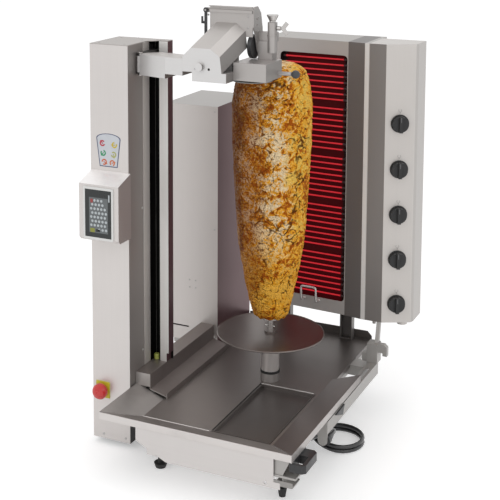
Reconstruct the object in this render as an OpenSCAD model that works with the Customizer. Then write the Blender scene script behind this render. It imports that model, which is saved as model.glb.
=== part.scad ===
// Electric skewer grill with a lifting cutter head, a fixed heater wall and a drip drawer.
// Millimetres. X runs to the right along the front, Y to the back, Z up from the table.
// The origin is on the table, under the middle of the machine's outline.

/* [Machine] */
// Width over the column and the control box
machine_w = 698; // [690:1:710]
// Depth from the deck's front rim to the heater's back
machine_d = 812; // [805:1:830]
// Thickness of the folded steel sheet of the casings
sheet = 2; // [1.5:0.1:2.5]
// Gap between parts that slide or turn on each other
run_gap = 0.3; // [0.25:0.05:0.4]
// Radial gap of a pin in its bore
pin_gap = 0.05; // [0.03:0.01:0.08]

/* [Deck] */
// Height of the deck's rim above the table
rim_z = 170; // [168:1:176]
// Width of the deck over its rims
deck_w = 506; // [500:1:506]
// Depth from the rim down to the deck's floor
deck_sink = 28; // [24:1:30]
// Width of the slopes round the floor
slope_w = 79; // [74:1:82]
// Height of the folded flange round the deck
flange_h = 18; // [15:1:19]
// Distance from the front rim to the end of the right slope
slope_run = 494; // [480:1:500]
// Distance from the front rim to the end of the left ramp
ramp_run = 190; // [180:1:190]
// Radius of the neck round the drive shaft
neck_r = 25; // [24:0.5:25.5]
// Height of that neck above the floor
neck_h = 22; // [18:1:24]

/* [Pans and drawer] */
// Width of the lift-out juice pan's well
juice_w = 149; // [140:1:152]
// Length of that well
juice_d = 300; // [280:1:304]
// Depth of that well
juice_h = 9; // [8:0.5:10]
// Sheet thickness of the pans and the drawer
pan_t = 1.5; // [1.2:0.1:2]
// Width of the drip drawer's box
drawer_w = 285; // [270:1:286]
// Depth of that box
drawer_d = 250; // [230:1:255]
// Height of that box
drawer_h = 38; // [34:1:40]
// Height of the drawer's front panel
front_h = 71; // [68:1:74]

/* [Column] */
// Width of the lifting column
column_w = 110; // [108:1:110]
// Depth of the lifting column
column_d = 149; // [147:1:150]
// Distance from the front rim back to the column's front
column_back = 160; // [158:1:162]
// Height of the column's top
column_top = 1056; // [1052:1:1064]
// Width of the open slot in the column's right wall
slot_w = 40; // [39:1:41]
// Radius of the two guide rods
guide_r = 8; // [6:0.5:8]
// Distance between the guide rods
guide_pitch = 76; // [76:1:78]
// Radius of the lead screw
screw_r = 8; // [6:0.5:9]
// Height of the box beam beside the deck
beam_h = 34; // [32:1:36]

/* [Cutter head] */
// Height of the underside of the swing arm
arm_z = 978; // [976:1:980]
// Height of the swing arm
arm_h = 54; // [52:1:55]
// Radius of the arm's pivot pin
pivot_r = 4; // [3:0.5:4.5]
// Radius of the cutter's round blade
blade_r = 50; // [44:1:52]
// Thickness of the cutter's round blade
blade_t = 2.5; // [2:0.25:3]
// Radius of the ball roller that feels the meat
ball_r = 10.5; // [9:0.5:11]
// Radius of the adjuster's tube
tube_r = 12; // [11:0.5:13]
// Travel of the adjuster's pull knob
knob_pull = 8; // [6:0.5:9]

/* [Skewer] */
// Radius of the skewer
skewer_r = 8.5; // [7:0.5:9]
// Radius of the drive sleeve that holds it
sleeve_r = 24; // [22:0.5:25]
// Height of the sleeve's top
sleeve_top = 270; // [262:1:272]
// Radius of the drip disc
disc_r = 143; // [138:1:145]
// Height of the meat's lower end
meat_z = 316; // [310:1:320]
// Largest radius of the meat
meat_r = 106; // [100:1:106]

/* [Heater] */
// Width of the heater's box
heater_w = 305; // [300:1:306]
// Height of the heater's and the control box's underside
heater_z = 258; // [256:1:262]
// Height of their tops above that
heater_h = 771; // [765:1:775]
// Turn of the heater's front away from the deck's front edge
heater_turn = -4; // [-5:0.5:-3]
// Width of the heater's window
window_w = 203; // [198:1:205]
// Height of the heater's window
window_h = 695; // [688:1:700]
// Radius of one heating tube
tube_heat_r = 3.2; // [2.5:0.1:3.6]
// Radius of a control knob
knob_r = 25; // [23:0.5:26]
// Distance between the control knobs
knob_pitch = 125.5; // [122:0.5:128]

/* [Electrics] */
// Width of the power box
power_w = 163; // [160:1:164]
// Height of the power box's top
power_top = 835; // [825:1:845]
// Width of the display's bezel
bezel_w = 86; // [84:1:88]
// Height of the display's bezel
bezel_h = 134; // [130:1:138]
// Radius of the stop button's cap
stop_r = 20; // [18:0.5:21]
// Diameter of the mains cord
cord_d = 10.4; // [9.6:0.2:10.4]

/* [Hidden] */
$fn = 48;

// Outline of the machine
left_x = -machine_w / 2;
right_x = machine_w / 2;
front_y = -machine_d / 2;
back_y = machine_d / 2;

// Deck
floor_z = rim_z - deck_sink;
column_x1 = left_x + column_w;
side_gap = 3;
deck_x0 = column_x1 + side_gap;
deck_x1 = deck_x0 + deck_w;
floor_x0 = deck_x0 + slope_w;
floor_x1 = deck_x1 - slope_w;
floor_y0 = front_y + slope_w;
slope_y1 = front_y + slope_run;
ramp_y1 = front_y + ramp_run;
floor_y1 = back_y - 4;
floor_tail_x1 = floor_x1 + 9;
edge_h = 12;
deck_under = floor_z - sheet;
flange_z = rim_z - flange_h - 1;

// Pans and drawer
juice_x1 = floor_x1 - 7;
juice_x0 = juice_x1 - juice_w;
juice_y0 = floor_y0 + 2;
juice_y1 = juice_y0 + juice_d;
juice_lip = 6;
front_top = flange_z;
front_bottom = front_top - front_h;
runner_w = 25;
runner_left = floor_x0 + 17;
runner_right = floor_x1 - 3;
drawer_x1 = runner_right - 8;
drawer_x0 = drawer_x1 - drawer_w;
drawer_y0 = front_y + 4;
drawer_y1 = drawer_y0 + drawer_d;
drawer_z0 = front_bottom + 9;
front_x0 = drawer_x0 - 30;
front_x1 = drawer_x1 + 45;

// Column
column_y0 = front_y + column_back;
column_y1 = column_y0 + column_d;
column_z0 = 15;
slot_y0 = column_y1 - slot_w;
wing_x1 = column_x1 + 49;
top_t = 2;
lift_x = left_x + 58;
lift_y = column_y0 + 96;
motor_top = 140;

// Box beam and chute
beam_x0 = column_x1 + 0.5;
beam_x1 = beam_x0 + 41;
beam_y0 = column_y0 + 30;
power_y0 = back_y - 237;
power_y1 = back_y - 8;
beam_z1 = rim_z + 30;
beam_z0 = beam_z1 - beam_h;
chute_x1 = beam_x1 + 50;

// Power box
power_x1 = left_x + power_w;
frame_top = deck_under;
power_z0 = frame_top;
cover_t = 1.5;

// Arm and head
pivot_x = column_x1 + 11;
pivot_y = column_y0 + 45;
arm_top = arm_z + arm_h;
arm_end_x = pivot_x + 139;
ear_h = 6;
head_front_y = column_y0 + 5;
head_back_y = head_front_y + 91;
plate_t = 4;
guard_x0 = pivot_x + 285;
guard_t = 3;
head_gap_z = arm_top - 26;
beam_top = arm_z + 47;
beam_bottom = beam_top - 44;
blade_top = beam_bottom - 3;
block_x0 = guard_x0 + guard_t;
block_x1 = block_x0 + 43;
block_y0 = head_back_y + 30;
block_y1 = block_y0 + 26;
tube_x = block_x0 + 37;
tube_y = block_y0;
tube_top = arm_top + 86;
wing_z = tube_top - 14;
ball_x = guard_x0 + 103.7;
ball_y = head_back_y + 25;
ball_z = beam_top - 31;
blade_x = pivot_x + 286;
blade_y = head_back_y;

// Skewer
skewer_x = pivot_x + 268;
skewer_y = column_y0 + 265;
neck_top = floor_z + neck_h;
seal_top = neck_top + 6;
disc_z = sleeve_top + 1.5;
disc_t = 1.6;
shank_z = sleeve_top - 80;
meat_top = 994;
hub_r = 9;

// Heater and control box
heater_top = heater_z + heater_h;
heater_x1 = deck_x1 - 44;
heater_x0 = heater_x1 - heater_w;
heater_origin = [heater_x1 - 166, back_y - 140];
slant_x = heater_x1 - 63;
box_front_y = back_y - 157;
panel_0 = [heater_x1 + 48, box_front_y];
panel_1 = [right_x - 5, box_front_y + 36];
box_back_y = box_front_y + 120;
knob_angle = atan2(panel_1[1] - panel_0[1], panel_1[0] - panel_0[0]);
knob_mid = (panel_0 + panel_1) / 2;
knob_z0 = heater_z + 54;
window_z0 = heater_z + 37;
tray_d = 22;
groups = 5;
tubes_in_group = 8;

// Electrics
display_x = left_x + 59;
display_z = 637;
display_y = column_y0 - 62;
stop_x = left_x + 30;
stop_z = 149;

// Slide rail and frame
rail_x1 = deck_x1 + 1;
rail_x0 = rail_x1 - 25;
rail_y0 = front_y + 235;
rail_y1 = box_front_y - 13;
rail_z1 = flange_z - 2;
rail_z0 = rail_z1 - 32;
clamp_y0 = box_front_y - 27;
clamp_y1 = box_front_y + 7;
lock_y = rail_y0 + 98;
lock_z = rail_z1 - 11;
frame_h = 28;
frame_z0 = frame_top - frame_h;
front_beam_y = drawer_y1 + 16;
rear_beam_y = power_y0 + 36;
last_beam_y = back_y - 40;
inner_x = floor_x1 - 21;
foot_x = runner_right + 13;
foot_y = front_y + 118;
plate_z = 36;
foot_h = 12;

// Cord: the lead from the gland to the floor, two turns that lie on each other, and the tail
cord_r = cord_d / 2;
cord_low = cord_r + 0.3;
coil_x = 229;
coil_y = 32;
coil_r = 64;
coil_turns = 2;
coil_step = 11.2;
coil_climb_from = 235;
coil_climb_to = 325;
coil_rings = 24;
coil_sides = 6;
coil_x0 = coil_x - coil_r;
gland_x = rail_x1 - 4;
gland_z = 99;
gland_y1 = rail_y0 + 39;
tail_z = cord_low + coil_turns * coil_step;
lead_points = [
    [gland_x, gland_y1, gland_z], [gland_x, gland_y1 + 10, gland_z],
    [gland_x - 1, gland_y1 + 22, gland_z - 1], [gland_x - 5, gland_y1 + 34, gland_z - 4],
    [gland_x - 13, gland_y1 + 46, gland_z - 10], [242, -75, 80], [227, -65, 68],
    [210, -55, 54], [194, -44, 40],
    [180, -31, 27], [170, -16, 16], [165.8, -1, 8.6], [coil_x0, 8, 6],
    [coil_x0, 15, cord_low], [coil_x0, coil_y - cord_d, cord_low]
];
tail_points = [
    [coil_x0, coil_y + cord_d, tail_z], [coil_x0, 58, tail_z], [164.5, 72, 27.2],
    [163, 86, 24.6], [160, 101, 19.6], [155, 116, 13.6], [148, 130, 8.8], [139, 143, 6.2],
    [128, 154, cord_low], [115, 162, cord_low], [101, 167, cord_low], [86, 169, cord_low],
    [74, 169, cord_low]
];

// Basic shapes
module slab(x0, x1, y0, y1, z0, z1) {
    translate([x0, y0, z0]) cube([x1 - x0, y1 - y0, z1 - z0]);
}

module plan(points, z0, z1) {
    translate([0, 0, z0]) linear_extrude(z1 - z0) polygon(points);
}

module side_profile(points, x0, x1) {
    translate([x0, 0, 0]) rotate([90, 0, 90]) linear_extrude(x1 - x0) polygon(points);
}

module front_profile(points, y0, y1) {
    translate([0, y1, 0]) rotate([90, 0, 0]) linear_extrude(y1 - y0) polygon(points);
}

module upright(x, y, z0, z1, r) {
    translate([x, y, z0]) cylinder(r = r, h = z1 - z0);
}

module rod_x(x0, x1, y, z, r) {
    translate([x0, y, z]) rotate([0, 90, 0]) cylinder(r = r, h = x1 - x0);
}

module rod_y(x, y0, y1, z, r) {
    translate([x, y1, z]) rotate([90, 0, 0]) cylinder(r = r, h = y1 - y0);
}

module rounded_window(x0, x1, z0, z1, r, y0, y1) {
    for (x = [x0 + r, x1 - r], z = [z0 + r, z1 - r]) rod_y(x, y0, y1, z, r);
    slab(x0 + r, x1 - r, y0, y1, z0, z1);
    slab(x0, x1, y0, y1, z0 + r, z1 - r);
}

module in_heater() {
    translate([heater_origin[0], heater_origin[1], 0]) rotate([0, 0, heater_turn]) children();
}

module on_panel(z) {
    translate([knob_mid[0], knob_mid[1], z]) rotate([90, 0, knob_angle]) children();
}

// Column
module column_casing() {
    color([0.80, 0.78, 0.76]) difference() {
        union() {
            plan([
                [left_x, column_y0], [column_x1, column_y0], [column_x1, slot_y0],
                [column_x1 - sheet, slot_y0], [column_x1 - sheet, column_y0 + sheet],
                [left_x + sheet, column_y0 + sheet], [left_x + sheet, column_y1 - sheet],
                [wing_x1, column_y1 - sheet], [wing_x1, column_y1], [left_x, column_y1]
            ], column_z0, column_top - top_t);
            slab(left_x, column_x1, column_y0, column_y1, column_z0, column_z0 + sheet);
            slab(column_x1 - 1, column_x1 + 1.5, slot_y0 - 32, slot_y0, beam_z1 + 1, column_top - top_t);
        }
        slab(column_x1, wing_x1 + 1, column_y1 - sheet - 1, column_y1 + 1, 0, beam_z1);
        rod_y(display_x, column_y0 - 1, column_y0 + sheet + 1, display_z, 10);
        rod_y(stop_x, column_y0 - 1, column_y0 + sheet + 1, stop_z, 11.3);
    }
}

module column_top_plate() {
    color([0.72, 0.71, 0.69]) difference() {
        plan([
            [left_x, column_y0], [column_x1, column_y0], [column_x1, slot_y0 - 8],
            [column_x1 + 10, slot_y0 - 2], [wing_x1 - 26, slot_y0 + 12], [wing_x1, slot_y0 + 12],
            [wing_x1, column_y1], [left_x, column_y1]
        ], column_top - top_t, column_top);
        for (p = [[18, 16], [92, 16], [18, 130], [92, 108], [120, 138]])
            upright(left_x + p[0], column_y0 + p[1], column_top - top_t - 1, column_top + 1, 2.6);
    }
}

module column_post() {
    color([0.82, 0.80, 0.78]) {
        slab(wing_x1 - 25, wing_x1, slot_y0 + 12, column_y1 - sheet, beam_z1 + 23, column_top - top_t);
        slab(wing_x1 - 25, wing_x1 - 6, slot_y0 + 12, column_y1 - sheet, beam_z1, beam_z1 + 24);
    }
}

module guide_rods() {
    color([0.75, 0.75, 0.76]) for (s = [-1, 1])
        upright(lift_x + s * guide_pitch / 2, lift_y, column_z0 + sheet, column_top - top_t, guide_r);
}

module lead_screw() {
    color([0.55, 0.54, 0.52]) {
        upright(lift_x, lift_y, motor_top - 25, column_top - top_t - run_gap, screw_r);
        upright(lift_x, lift_y, motor_top + run_gap, motor_top + 18, screw_r + 7);
    }
}

module lift_motor() {
    color([0.16, 0.16, 0.17]) difference() {
        upright(lift_x, lift_y, column_z0 + sheet, motor_top, 28);
        upright(lift_x, lift_y, motor_top - 26, motor_top + 1, screw_r + pin_gap);
    }
}

// Display and stop button
module display_housing() {
    z0 = display_z - bezel_h / 2 - 6;
    z1 = display_z + bezel_h / 2 + 6;
    x0 = display_x - bezel_w / 2 - 14;
    x1 = display_x + bezel_w / 2 + 14;
    color([0.78, 0.76, 0.74]) difference() {
        side_profile([
            [column_y0, z0], [display_y + 8, z0], [display_y, z0 + 8], [display_y, z1],
            [column_y0, z1 + 21]
        ], x0, x1);
        side_profile([
            [column_y0 + 1, z0 + sheet], [display_y + sheet, z0 + sheet + 6],
            [display_y + sheet, z1 - sheet], [column_y0 + 1, z1 + 21 - sheet]
        ], x0 + sheet, x1 - sheet);
        slab(display_x - bezel_w / 2 + 6, display_x + bezel_w / 2 - 6, display_y - 1, display_y + 3,
             display_z - bezel_h / 2 + 6, display_z + bezel_h / 2 - 6);
    }
}

module display_bezel() {
    color([0.88, 0.87, 0.86]) difference() {
        rounded_window(display_x - bezel_w / 2, display_x + bezel_w / 2, display_z - bezel_h / 2,
                       display_z + bezel_h / 2, 4, display_y - 3, display_y);
        slab(display_x - bezel_w / 2 + 5, display_x + bezel_w / 2 - 5, display_y - 4, display_y - 1,
             display_z - bezel_h / 2 + 6, display_z + bezel_h / 2 - 6);
    }
}

module display_glass() {
    color([0.05, 0.05, 0.06])
        slab(display_x - bezel_w / 2 + 5.2, display_x + bezel_w / 2 - 5.2, display_y - 2.6, display_y - 1,
             display_z - bezel_h / 2 + 6.2, display_z + bezel_h / 2 - 6.2);
}

module estop_plate() {
    color([0.93, 0.83, 0.12]) difference() {
        slab(stop_x - 20, stop_x + 20, column_y0 - 2, column_y0, stop_z - 22, stop_z + 21);
        rod_y(stop_x, column_y0 - 3, column_y0 + 1, stop_z, 11.3);
    }
}

module estop_button() {
    color([0.80, 0.08, 0.07]) {
        translate([stop_x, column_y0 - 8, stop_z]) rotate([90, 0, 0]) rotate_extrude()
            polygon([[0, 0], [stop_r - 3, 0], [stop_r, 4], [stop_r, 14], [stop_r - 4, 20],
                     [stop_r - 11, 23], [0, 24]]);
        rod_y(stop_x, column_y0 - 9, column_y0 + 16, stop_z, 11);
    }
}

// Lift carriage and swing arm
module carriage() {
    neck_y0 = slot_y0 + 3;
    neck_y1 = column_y1 - sheet - 5;
    lug_x0 = column_x1 + 2.5;
    lug_x1 = lug_x0 + 15;
    color([0.30, 0.30, 0.31]) difference() {
        union() {
            slab(left_x + 8, column_x1 - sheet - 3, lift_y - 22, column_y1 - sheet - 5, arm_z - 14,
                 arm_top + 12);
            slab(column_x1 - sheet - 4, lug_x1, neck_y0, neck_y1, arm_z, arm_top);
            slab(lug_x0, lug_x1, pivot_y + 12, neck_y1, arm_z, arm_top);
            for (z = [arm_z, arm_top - ear_h]) {
                upright(pivot_x, pivot_y, z, z + ear_h, 8);
                slab(lug_x0, pivot_x + 5, pivot_y, pivot_y + 13, z, z + ear_h);
            }
        }
        upright(pivot_x, pivot_y, arm_z - 1, arm_top + 1, pivot_r + pin_gap);
        for (s = [-1, 1])
            upright(lift_x + s * guide_pitch / 2, lift_y, arm_z - 15, arm_top + 13, guide_r + run_gap);
        upright(lift_x, lift_y, arm_z - 15, arm_top + 13, screw_r + run_gap);
    }
}

module pivot_pin() {
    color([0.7, 0.7, 0.7]) {
        upright(pivot_x, pivot_y, arm_z - 1, arm_top + 1, pivot_r);
        upright(pivot_x, pivot_y, arm_top, arm_top + 2.5, pivot_r + 2.5);
        upright(pivot_x, pivot_y, arm_z - 2.5, arm_z, pivot_r + 2.5);
    }
}

module swing_arm() {
    color([0.80, 0.78, 0.76]) difference() {
        union() {
            plan([
                [pivot_x + 2, pivot_y - 9], [arm_end_x - 50, pivot_y - 35], [arm_end_x, pivot_y - 40],
                [arm_end_x, pivot_y + 20], [pivot_x + 68, pivot_y + 35], [pivot_x + 34, pivot_y + 33],
                [pivot_x + 14, pivot_y + 14], [pivot_x + 8, pivot_y + 4]
            ], arm_z, arm_top);
            upright(pivot_x, pivot_y, arm_z, arm_top, 9);
        }
        upright(pivot_x, pivot_y, arm_z - 1, arm_top + 1, pivot_r + pin_gap);
        upright(pivot_x, pivot_y, arm_z - 1, arm_z + ear_h + run_gap, 9.5);
        upright(pivot_x, pivot_y, arm_top - ear_h - run_gap, arm_top + 1, 9.5);
        for (z = [arm_z - 1, arm_top - ear_h - run_gap])
            slab(pivot_x - 10, pivot_x + 6, pivot_y - 1, pivot_y + 20, z, z + ear_h + run_gap + 1);
        slab(arm_end_x - 51, arm_end_x + 1, pivot_y - 50, pivot_y + 40, arm_z - 1, arm_z + 12);
    }
}

// Cutter head
module cutter_housing() {
    rise = 55;
    drift = 27;
    outline = [
        [arm_end_x, head_gap_z - 5], [arm_end_x, head_gap_z + 32], [arm_end_x + 22, head_gap_z + 54],
        [arm_end_x + 75, head_gap_z + 54], [arm_end_x + 100, head_gap_z + 36],
        [arm_end_x + 105, head_gap_z - 5]
    ];
    raised = [for (p = outline) [p[0] + drift, p[1] + rise]];
    color([0.79, 0.78, 0.76]) difference() {
        union() {
            hull() {
                front_profile(outline, head_front_y, head_front_y + 0.5);
                front_profile(raised, head_back_y - 0.5, head_back_y);
            }
            slab(arm_end_x, arm_end_x + 24, head_front_y, head_front_y + 57, head_gap_z - 3, head_gap_z + 24);
            slab(arm_end_x + 26, arm_end_x + 117, head_front_y, head_back_y + 6,
                 blade_top + 0.5, head_gap_z - 4);
            slab(arm_end_x + 46, arm_end_x + 110, head_back_y - 40, head_back_y, head_gap_z - 6,
                 head_gap_z + 60);
            rod_y(arm_end_x + 47, head_front_y - 8, head_front_y + 10, head_gap_z + 9, 10);
        }
        for (x = [36, 71])
            rod_y(arm_end_x + x, head_front_y - 1, head_front_y + 12, head_gap_z + 4, 3.2);
    }
}

module cutter_back_plate() {
    x0 = arm_end_x + 31;
    z0 = arm_top + 50;
    z1 = z0 + 74;
    ear_x = x0 - 10;
    color([0.80, 0.78, 0.77]) {
        slab(x0, guard_x0, head_back_y, head_back_y + plate_t, z0, z1);
        slab(x0, guard_x0, head_back_y - 8, head_back_y + 1, z1 - 2, z1);
        slab(x0, guard_x0, head_back_y - 4, head_back_y + 1, z1 - 16, z1 - 9);
        slab(ear_x - 6, x0 + 1, head_back_y, head_back_y + plate_t, z1 - 18, z1 - 6);
        rod_y(ear_x, head_back_y - 7, head_back_y + 1, z1 - 12, 2.5);
    }
}

module cutter_latch() {
    x = arm_end_x + 21;
    z = arm_top + 112;
    color([0.10, 0.10, 0.11]) difference() {
        union() {
            rod_y(x, head_back_y - 6, head_back_y - run_gap, z, 6);
            slab(x - 3, x + 3, head_back_y - 6, head_back_y - run_gap, z - 62, z);
            slab(x - 12, x, head_back_y - 5, head_back_y - 1, z - 34, z - 28);
            slab(x - 12, x - 8, head_back_y - 5, head_back_y - 1, z - 34, z - 16);
        }
        rod_y(x, head_back_y - 7, head_back_y + 1, z, 2.5 + pin_gap);
    }
}

module blade_guard() {
    y = head_back_y;
    color([0.77, 0.76, 0.74]) difference() {
        side_profile([
            [y, arm_top + 74], [y, arm_top + 118], [y + 8, arm_top + 124], [y + 26, arm_top + 124],
            [y + 46, arm_top + 106], [y + 56, arm_top + 68], [y + 56, beam_top], [y + 40, beam_top],
            [y + 26, arm_top + 13], [y + 10, arm_top + 58]
        ], guard_x0, block_x0);
        for (p = [[20, 92], [20, 78]]) rod_x(guard_x0 - 1, block_x0 + 1, y + p[0], arm_top + p[1], 3);
    }
}

module blade_drive() {
    color([0.16, 0.14, 0.13]) {
        rod_x(guard_x0 - 13, guard_x0 - 3, head_back_y + 25, arm_top + 25, 30);
        rod_x(guard_x0 - 4, guard_x0, head_back_y + 40, arm_top + 25, 9);
    }
}

module gauge_beam() {
    color([0.80, 0.78, 0.76]) difference() {
        union() {
            slab(arm_end_x + 117, block_x0 + 54, head_back_y - 50, head_back_y + 50, beam_bottom, beam_top);
            rod_x(block_x0 + 53, ball_x - ball_r - run_gap, ball_y, ball_z, 5);
            rod_x(ball_x - ball_r - run_gap - 1, ball_x + 4, ball_y, ball_z, 3);
        }
        upright(blade_x, blade_y, beam_bottom - 1, beam_bottom + 20, 5 + pin_gap);
    }
}

module cutter_blade() {
    color([0.25, 0.25, 0.26]) {
        upright(blade_x, blade_y, blade_top - blade_t, blade_top, blade_r);
        upright(blade_x, blade_y, blade_top - blade_t - 5, blade_top - 1, 12);
        upright(blade_x, blade_y, blade_top - 1, beam_bottom + 19, 5);
    }
}

module gauge_roller() {
    color([0.08, 0.08, 0.08]) difference() {
        translate([ball_x, ball_y, ball_z]) sphere(r = ball_r);
        rod_x(ball_x - ball_r - 1, ball_x + 4.5, ball_y, ball_z, 3 + pin_gap);
    }
}

module adjuster_block() {
    color([0.78, 0.77, 0.75]) difference() {
        union() {
            slab(block_x0, block_x1, block_y0 + 2, block_y1, arm_top + 37, arm_top + 60);
            slab(block_x0, block_x1 - 5, block_y0 - 3, block_y1, beam_top, arm_top + 38);
            upright(tube_x, tube_y, beam_top + 18, tube_top, tube_r);
            upright(tube_x, tube_y, tube_top - 32, tube_top - 30, tube_r + 2);
        }
        upright(tube_x, tube_y, tube_top - 52 - knob_pull, tube_top + 1, 5 + pin_gap);
        rod_x(tube_x + 6, tube_x + tube_r + 1, tube_y, wing_z, 3 + pin_gap);
    }
}

module adjuster_knob() {
    translate([tube_x, tube_y, tube_top + run_gap]) color([0.80, 0.79, 0.78]) rotate_extrude()
        polygon([[0, -50], [5, -50], [5, 0], [8, 0], [8, 3], [9.5, 6], [14.5, 16], [14.5, 18.5], [0, 18.5]]);
}

module wing_screw() {
    x = tube_x + tube_r + 2;
    color([0.82, 0.81, 0.80]) {
        rod_x(tube_x + 6.5, x + 1, tube_y, wing_z, 3);
        rod_x(x, x + 8, tube_y, wing_z, 5.5);
        for (s = [-1, 1])
            translate([x + 7, tube_y, wing_z]) rotate([s * 90 - 90, 0, 0]) translate([0, -1.25, 0])
                rotate([0, 38, 0]) cube([10, 2.5, 22]);
    }
}

// Skewer, meat and drive
meat_stations = [
    [0, 34], [12, 49], [48, 58], [115, 73], [196, 87], [303, 95], [383, 100], [464, 104],
    [571, meat_r], [638, 96], [664, 86], [meat_top - meat_z, 60]
];

module meat() {
    color([0.85, 0.55, 0.25]) translate([skewer_x, skewer_y, meat_z]) rotate_extrude(convexity = 4)
        polygon(concat(
            [for (s = meat_stations) [s[1], s[0]]],
            [[skewer_r + 0.4, meat_top - meat_z], [skewer_r + 0.4, 0]]
        ));
}

module skewer() {
    color([0.78, 0.78, 0.78]) {
        upright(skewer_x, skewer_y, shank_z + run_gap, meat_top + 12, skewer_r);
        translate([skewer_x, skewer_y, meat_top + 11]) cylinder(r1 = skewer_r, r2 = 2, h = 23);
        rod_x(skewer_x - 14, skewer_x + 14, skewer_y, disc_z + 18, 2.5);
        upright(skewer_x, skewer_y, meat_z - 4, meat_z - 0.4, 26);
    }
}

module drip_disc() {
    color([0.55, 0.52, 0.50]) translate([skewer_x, skewer_y, disc_z]) rotate_extrude(convexity = 4)
        polygon([
            [skewer_r + pin_gap, 0], [disc_r - 3, 0], [disc_r - 1, -1], [disc_r, 0.4], [disc_r, 2],
            [disc_r - 1.5, 3.2], [disc_r - 3, disc_t], [16, disc_t], [16, 6], [skewer_r + pin_gap, 6]
        ]);
}

module drive_sleeve() {
    color([0.72, 0.70, 0.68]) difference() {
        union() {
            upright(skewer_x, skewer_y, seal_top + run_gap, sleeve_top, sleeve_r);
            upright(skewer_x, skewer_y, floor_z - 34, seal_top + 1, hub_r);
        }
        upright(skewer_x, skewer_y, shank_z, sleeve_top + 1, skewer_r + pin_gap);
    }
}

module seal_ring() {
    color([0.06, 0.06, 0.06]) difference() {
        upright(skewer_x, skewer_y, neck_top, seal_top, neck_r + 1);
        upright(skewer_x, skewer_y, neck_top - 1, seal_top + 1, hub_r + run_gap);
    }
}

module skewer_motor() {
    color([0.35, 0.36, 0.38]) difference() {
        union() {
            upright(skewer_x, skewer_y, 30, deck_under - 12, 48);
            upright(skewer_x, skewer_y, deck_under - 13, deck_under, 42);
        }
        upright(skewer_x, skewer_y, floor_z - 35, deck_under + 1, hub_r + pin_gap);
    }
}

// Deck
module slope_sheet(x_high, x_low, y0, y1) {
    front_profile([
        [x_high, rim_z], [x_low, floor_z], [x_low, floor_z - sheet], [x_high, rim_z - sheet]
    ], y0, y1);
}

module deck_pan() {
    mitre = [[deck_x0, front_y], [deck_x1, front_y], [floor_x1, floor_y0], [floor_x0, floor_y0]];
    color([0.50, 0.48, 0.46]) difference() {
        union() {
            difference() {
                slope_sheet(deck_x0, floor_x0, front_y, ramp_y1);
                plan(mitre, 0, rim_z + 1);
            }
            difference() {
                mirror([1, 0, 0]) slope_sheet(-deck_x1, -floor_x1, front_y, slope_y1);
                plan(mitre, 0, rim_z + 1);
            }
            intersection() {
                side_profile([
                    [front_y, rim_z], [floor_y0, floor_z], [floor_y0, floor_z - sheet],
                    [front_y, rim_z - sheet]
                ], deck_x0, deck_x1);
                plan(mitre, 0, rim_z + 1);
            }
            slab(deck_x0, deck_x1, front_y, front_y + sheet, rim_z - flange_h, rim_z - 0.5);
            slab(deck_x0, deck_x0 + sheet, front_y, ramp_y1, rim_z - flange_h, rim_z - 0.5);
            slab(deck_x1 - sheet, deck_x1, front_y, slope_y1, flange_z, rim_z - 0.5);
            slab(floor_x0 - 1, floor_x1 + 1, floor_y0 - 1, ramp_y1 + 1, deck_under, floor_z);
            slab(beam_x1 + 3, floor_x0, ramp_y1, power_y0, deck_under, floor_z);
            slab(power_x1, floor_x1 + 1, ramp_y1, floor_y1, deck_under, floor_z);
            slab(floor_x1, floor_tail_x1, slope_y1, floor_y1, deck_under, floor_z);
            slab(floor_tail_x1 - sheet, floor_tail_x1, slope_y1, floor_y1, floor_z - edge_h, floor_z);
            front_profile([
                [power_x1 + 1, deck_under], [floor_tail_x1, deck_under], [floor_tail_x1, floor_z + 10],
                [floor_tail_x1 - 13, floor_z + 24], [power_x1 + 1, floor_z + 24]
            ], floor_y1 - sheet, floor_y1);
            upright(skewer_x, skewer_y, floor_z - 1, neck_top, neck_r);
        }
        slab(juice_x0, juice_x1, juice_y0, juice_y1, 0, rim_z);
        upright(skewer_x, skewer_y, 0, rim_z, hub_r + 5);
        slab(inner_x + runner_w, floor_tail_x1 + 1, rear_beam_y - 1, rear_beam_y + 51, 0, deck_under);
    }
}

module juice_pan() {
    gap = 1;
    x0 = juice_x0 + gap;
    x1 = juice_x1 - gap;
    y0 = juice_y0 + gap;
    y1 = juice_y1 - gap;
    z0 = floor_z - juice_h;
    lip_z = floor_z + run_gap;
    color([0.53, 0.51, 0.49]) {
        difference() {
            slab(x0, x1, y0, y1, z0, lip_z + pan_t);
            slab(x0 + pan_t, x1 - pan_t, y0 + pan_t, y1 - pan_t, z0 + pan_t, rim_z);
        }
        slab(x0 - juice_lip, x0 + 1, y0, y1, lip_z, lip_z + pan_t);
        slab(x0 - juice_lip, x1, y1 - 1, y1 + juice_lip, lip_z, lip_z + pan_t);
    }
}

module side_chute() {
    low = floor_z + 7;
    color([0.60, 0.58, 0.57]) front_profile([
        [beam_x1, beam_z1], [beam_x1 + pan_t, beam_z1], [beam_x1 + pan_t, low + 12],
        [chute_x1 - pan_t, low], [chute_x1 - pan_t, low + 8], [chute_x1, low + 8],
        [chute_x1, floor_z], [chute_x1 - pan_t, floor_z], [chute_x1 - pan_t, low - pan_t],
        [beam_x1, low + 12 - pan_t]
    ], beam_y0, power_y0 - 4);
}

module box_beam() {
    color([0.62, 0.60, 0.59]) difference() {
        slab(beam_x0, beam_x1, beam_y0, power_y0, beam_z0, beam_z1);
        slab(beam_x0 + sheet, beam_x1 - sheet, beam_y0 + sheet, power_y0 + 1, beam_z0 + sheet,
             beam_z1 - sheet);
    }
}

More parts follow.
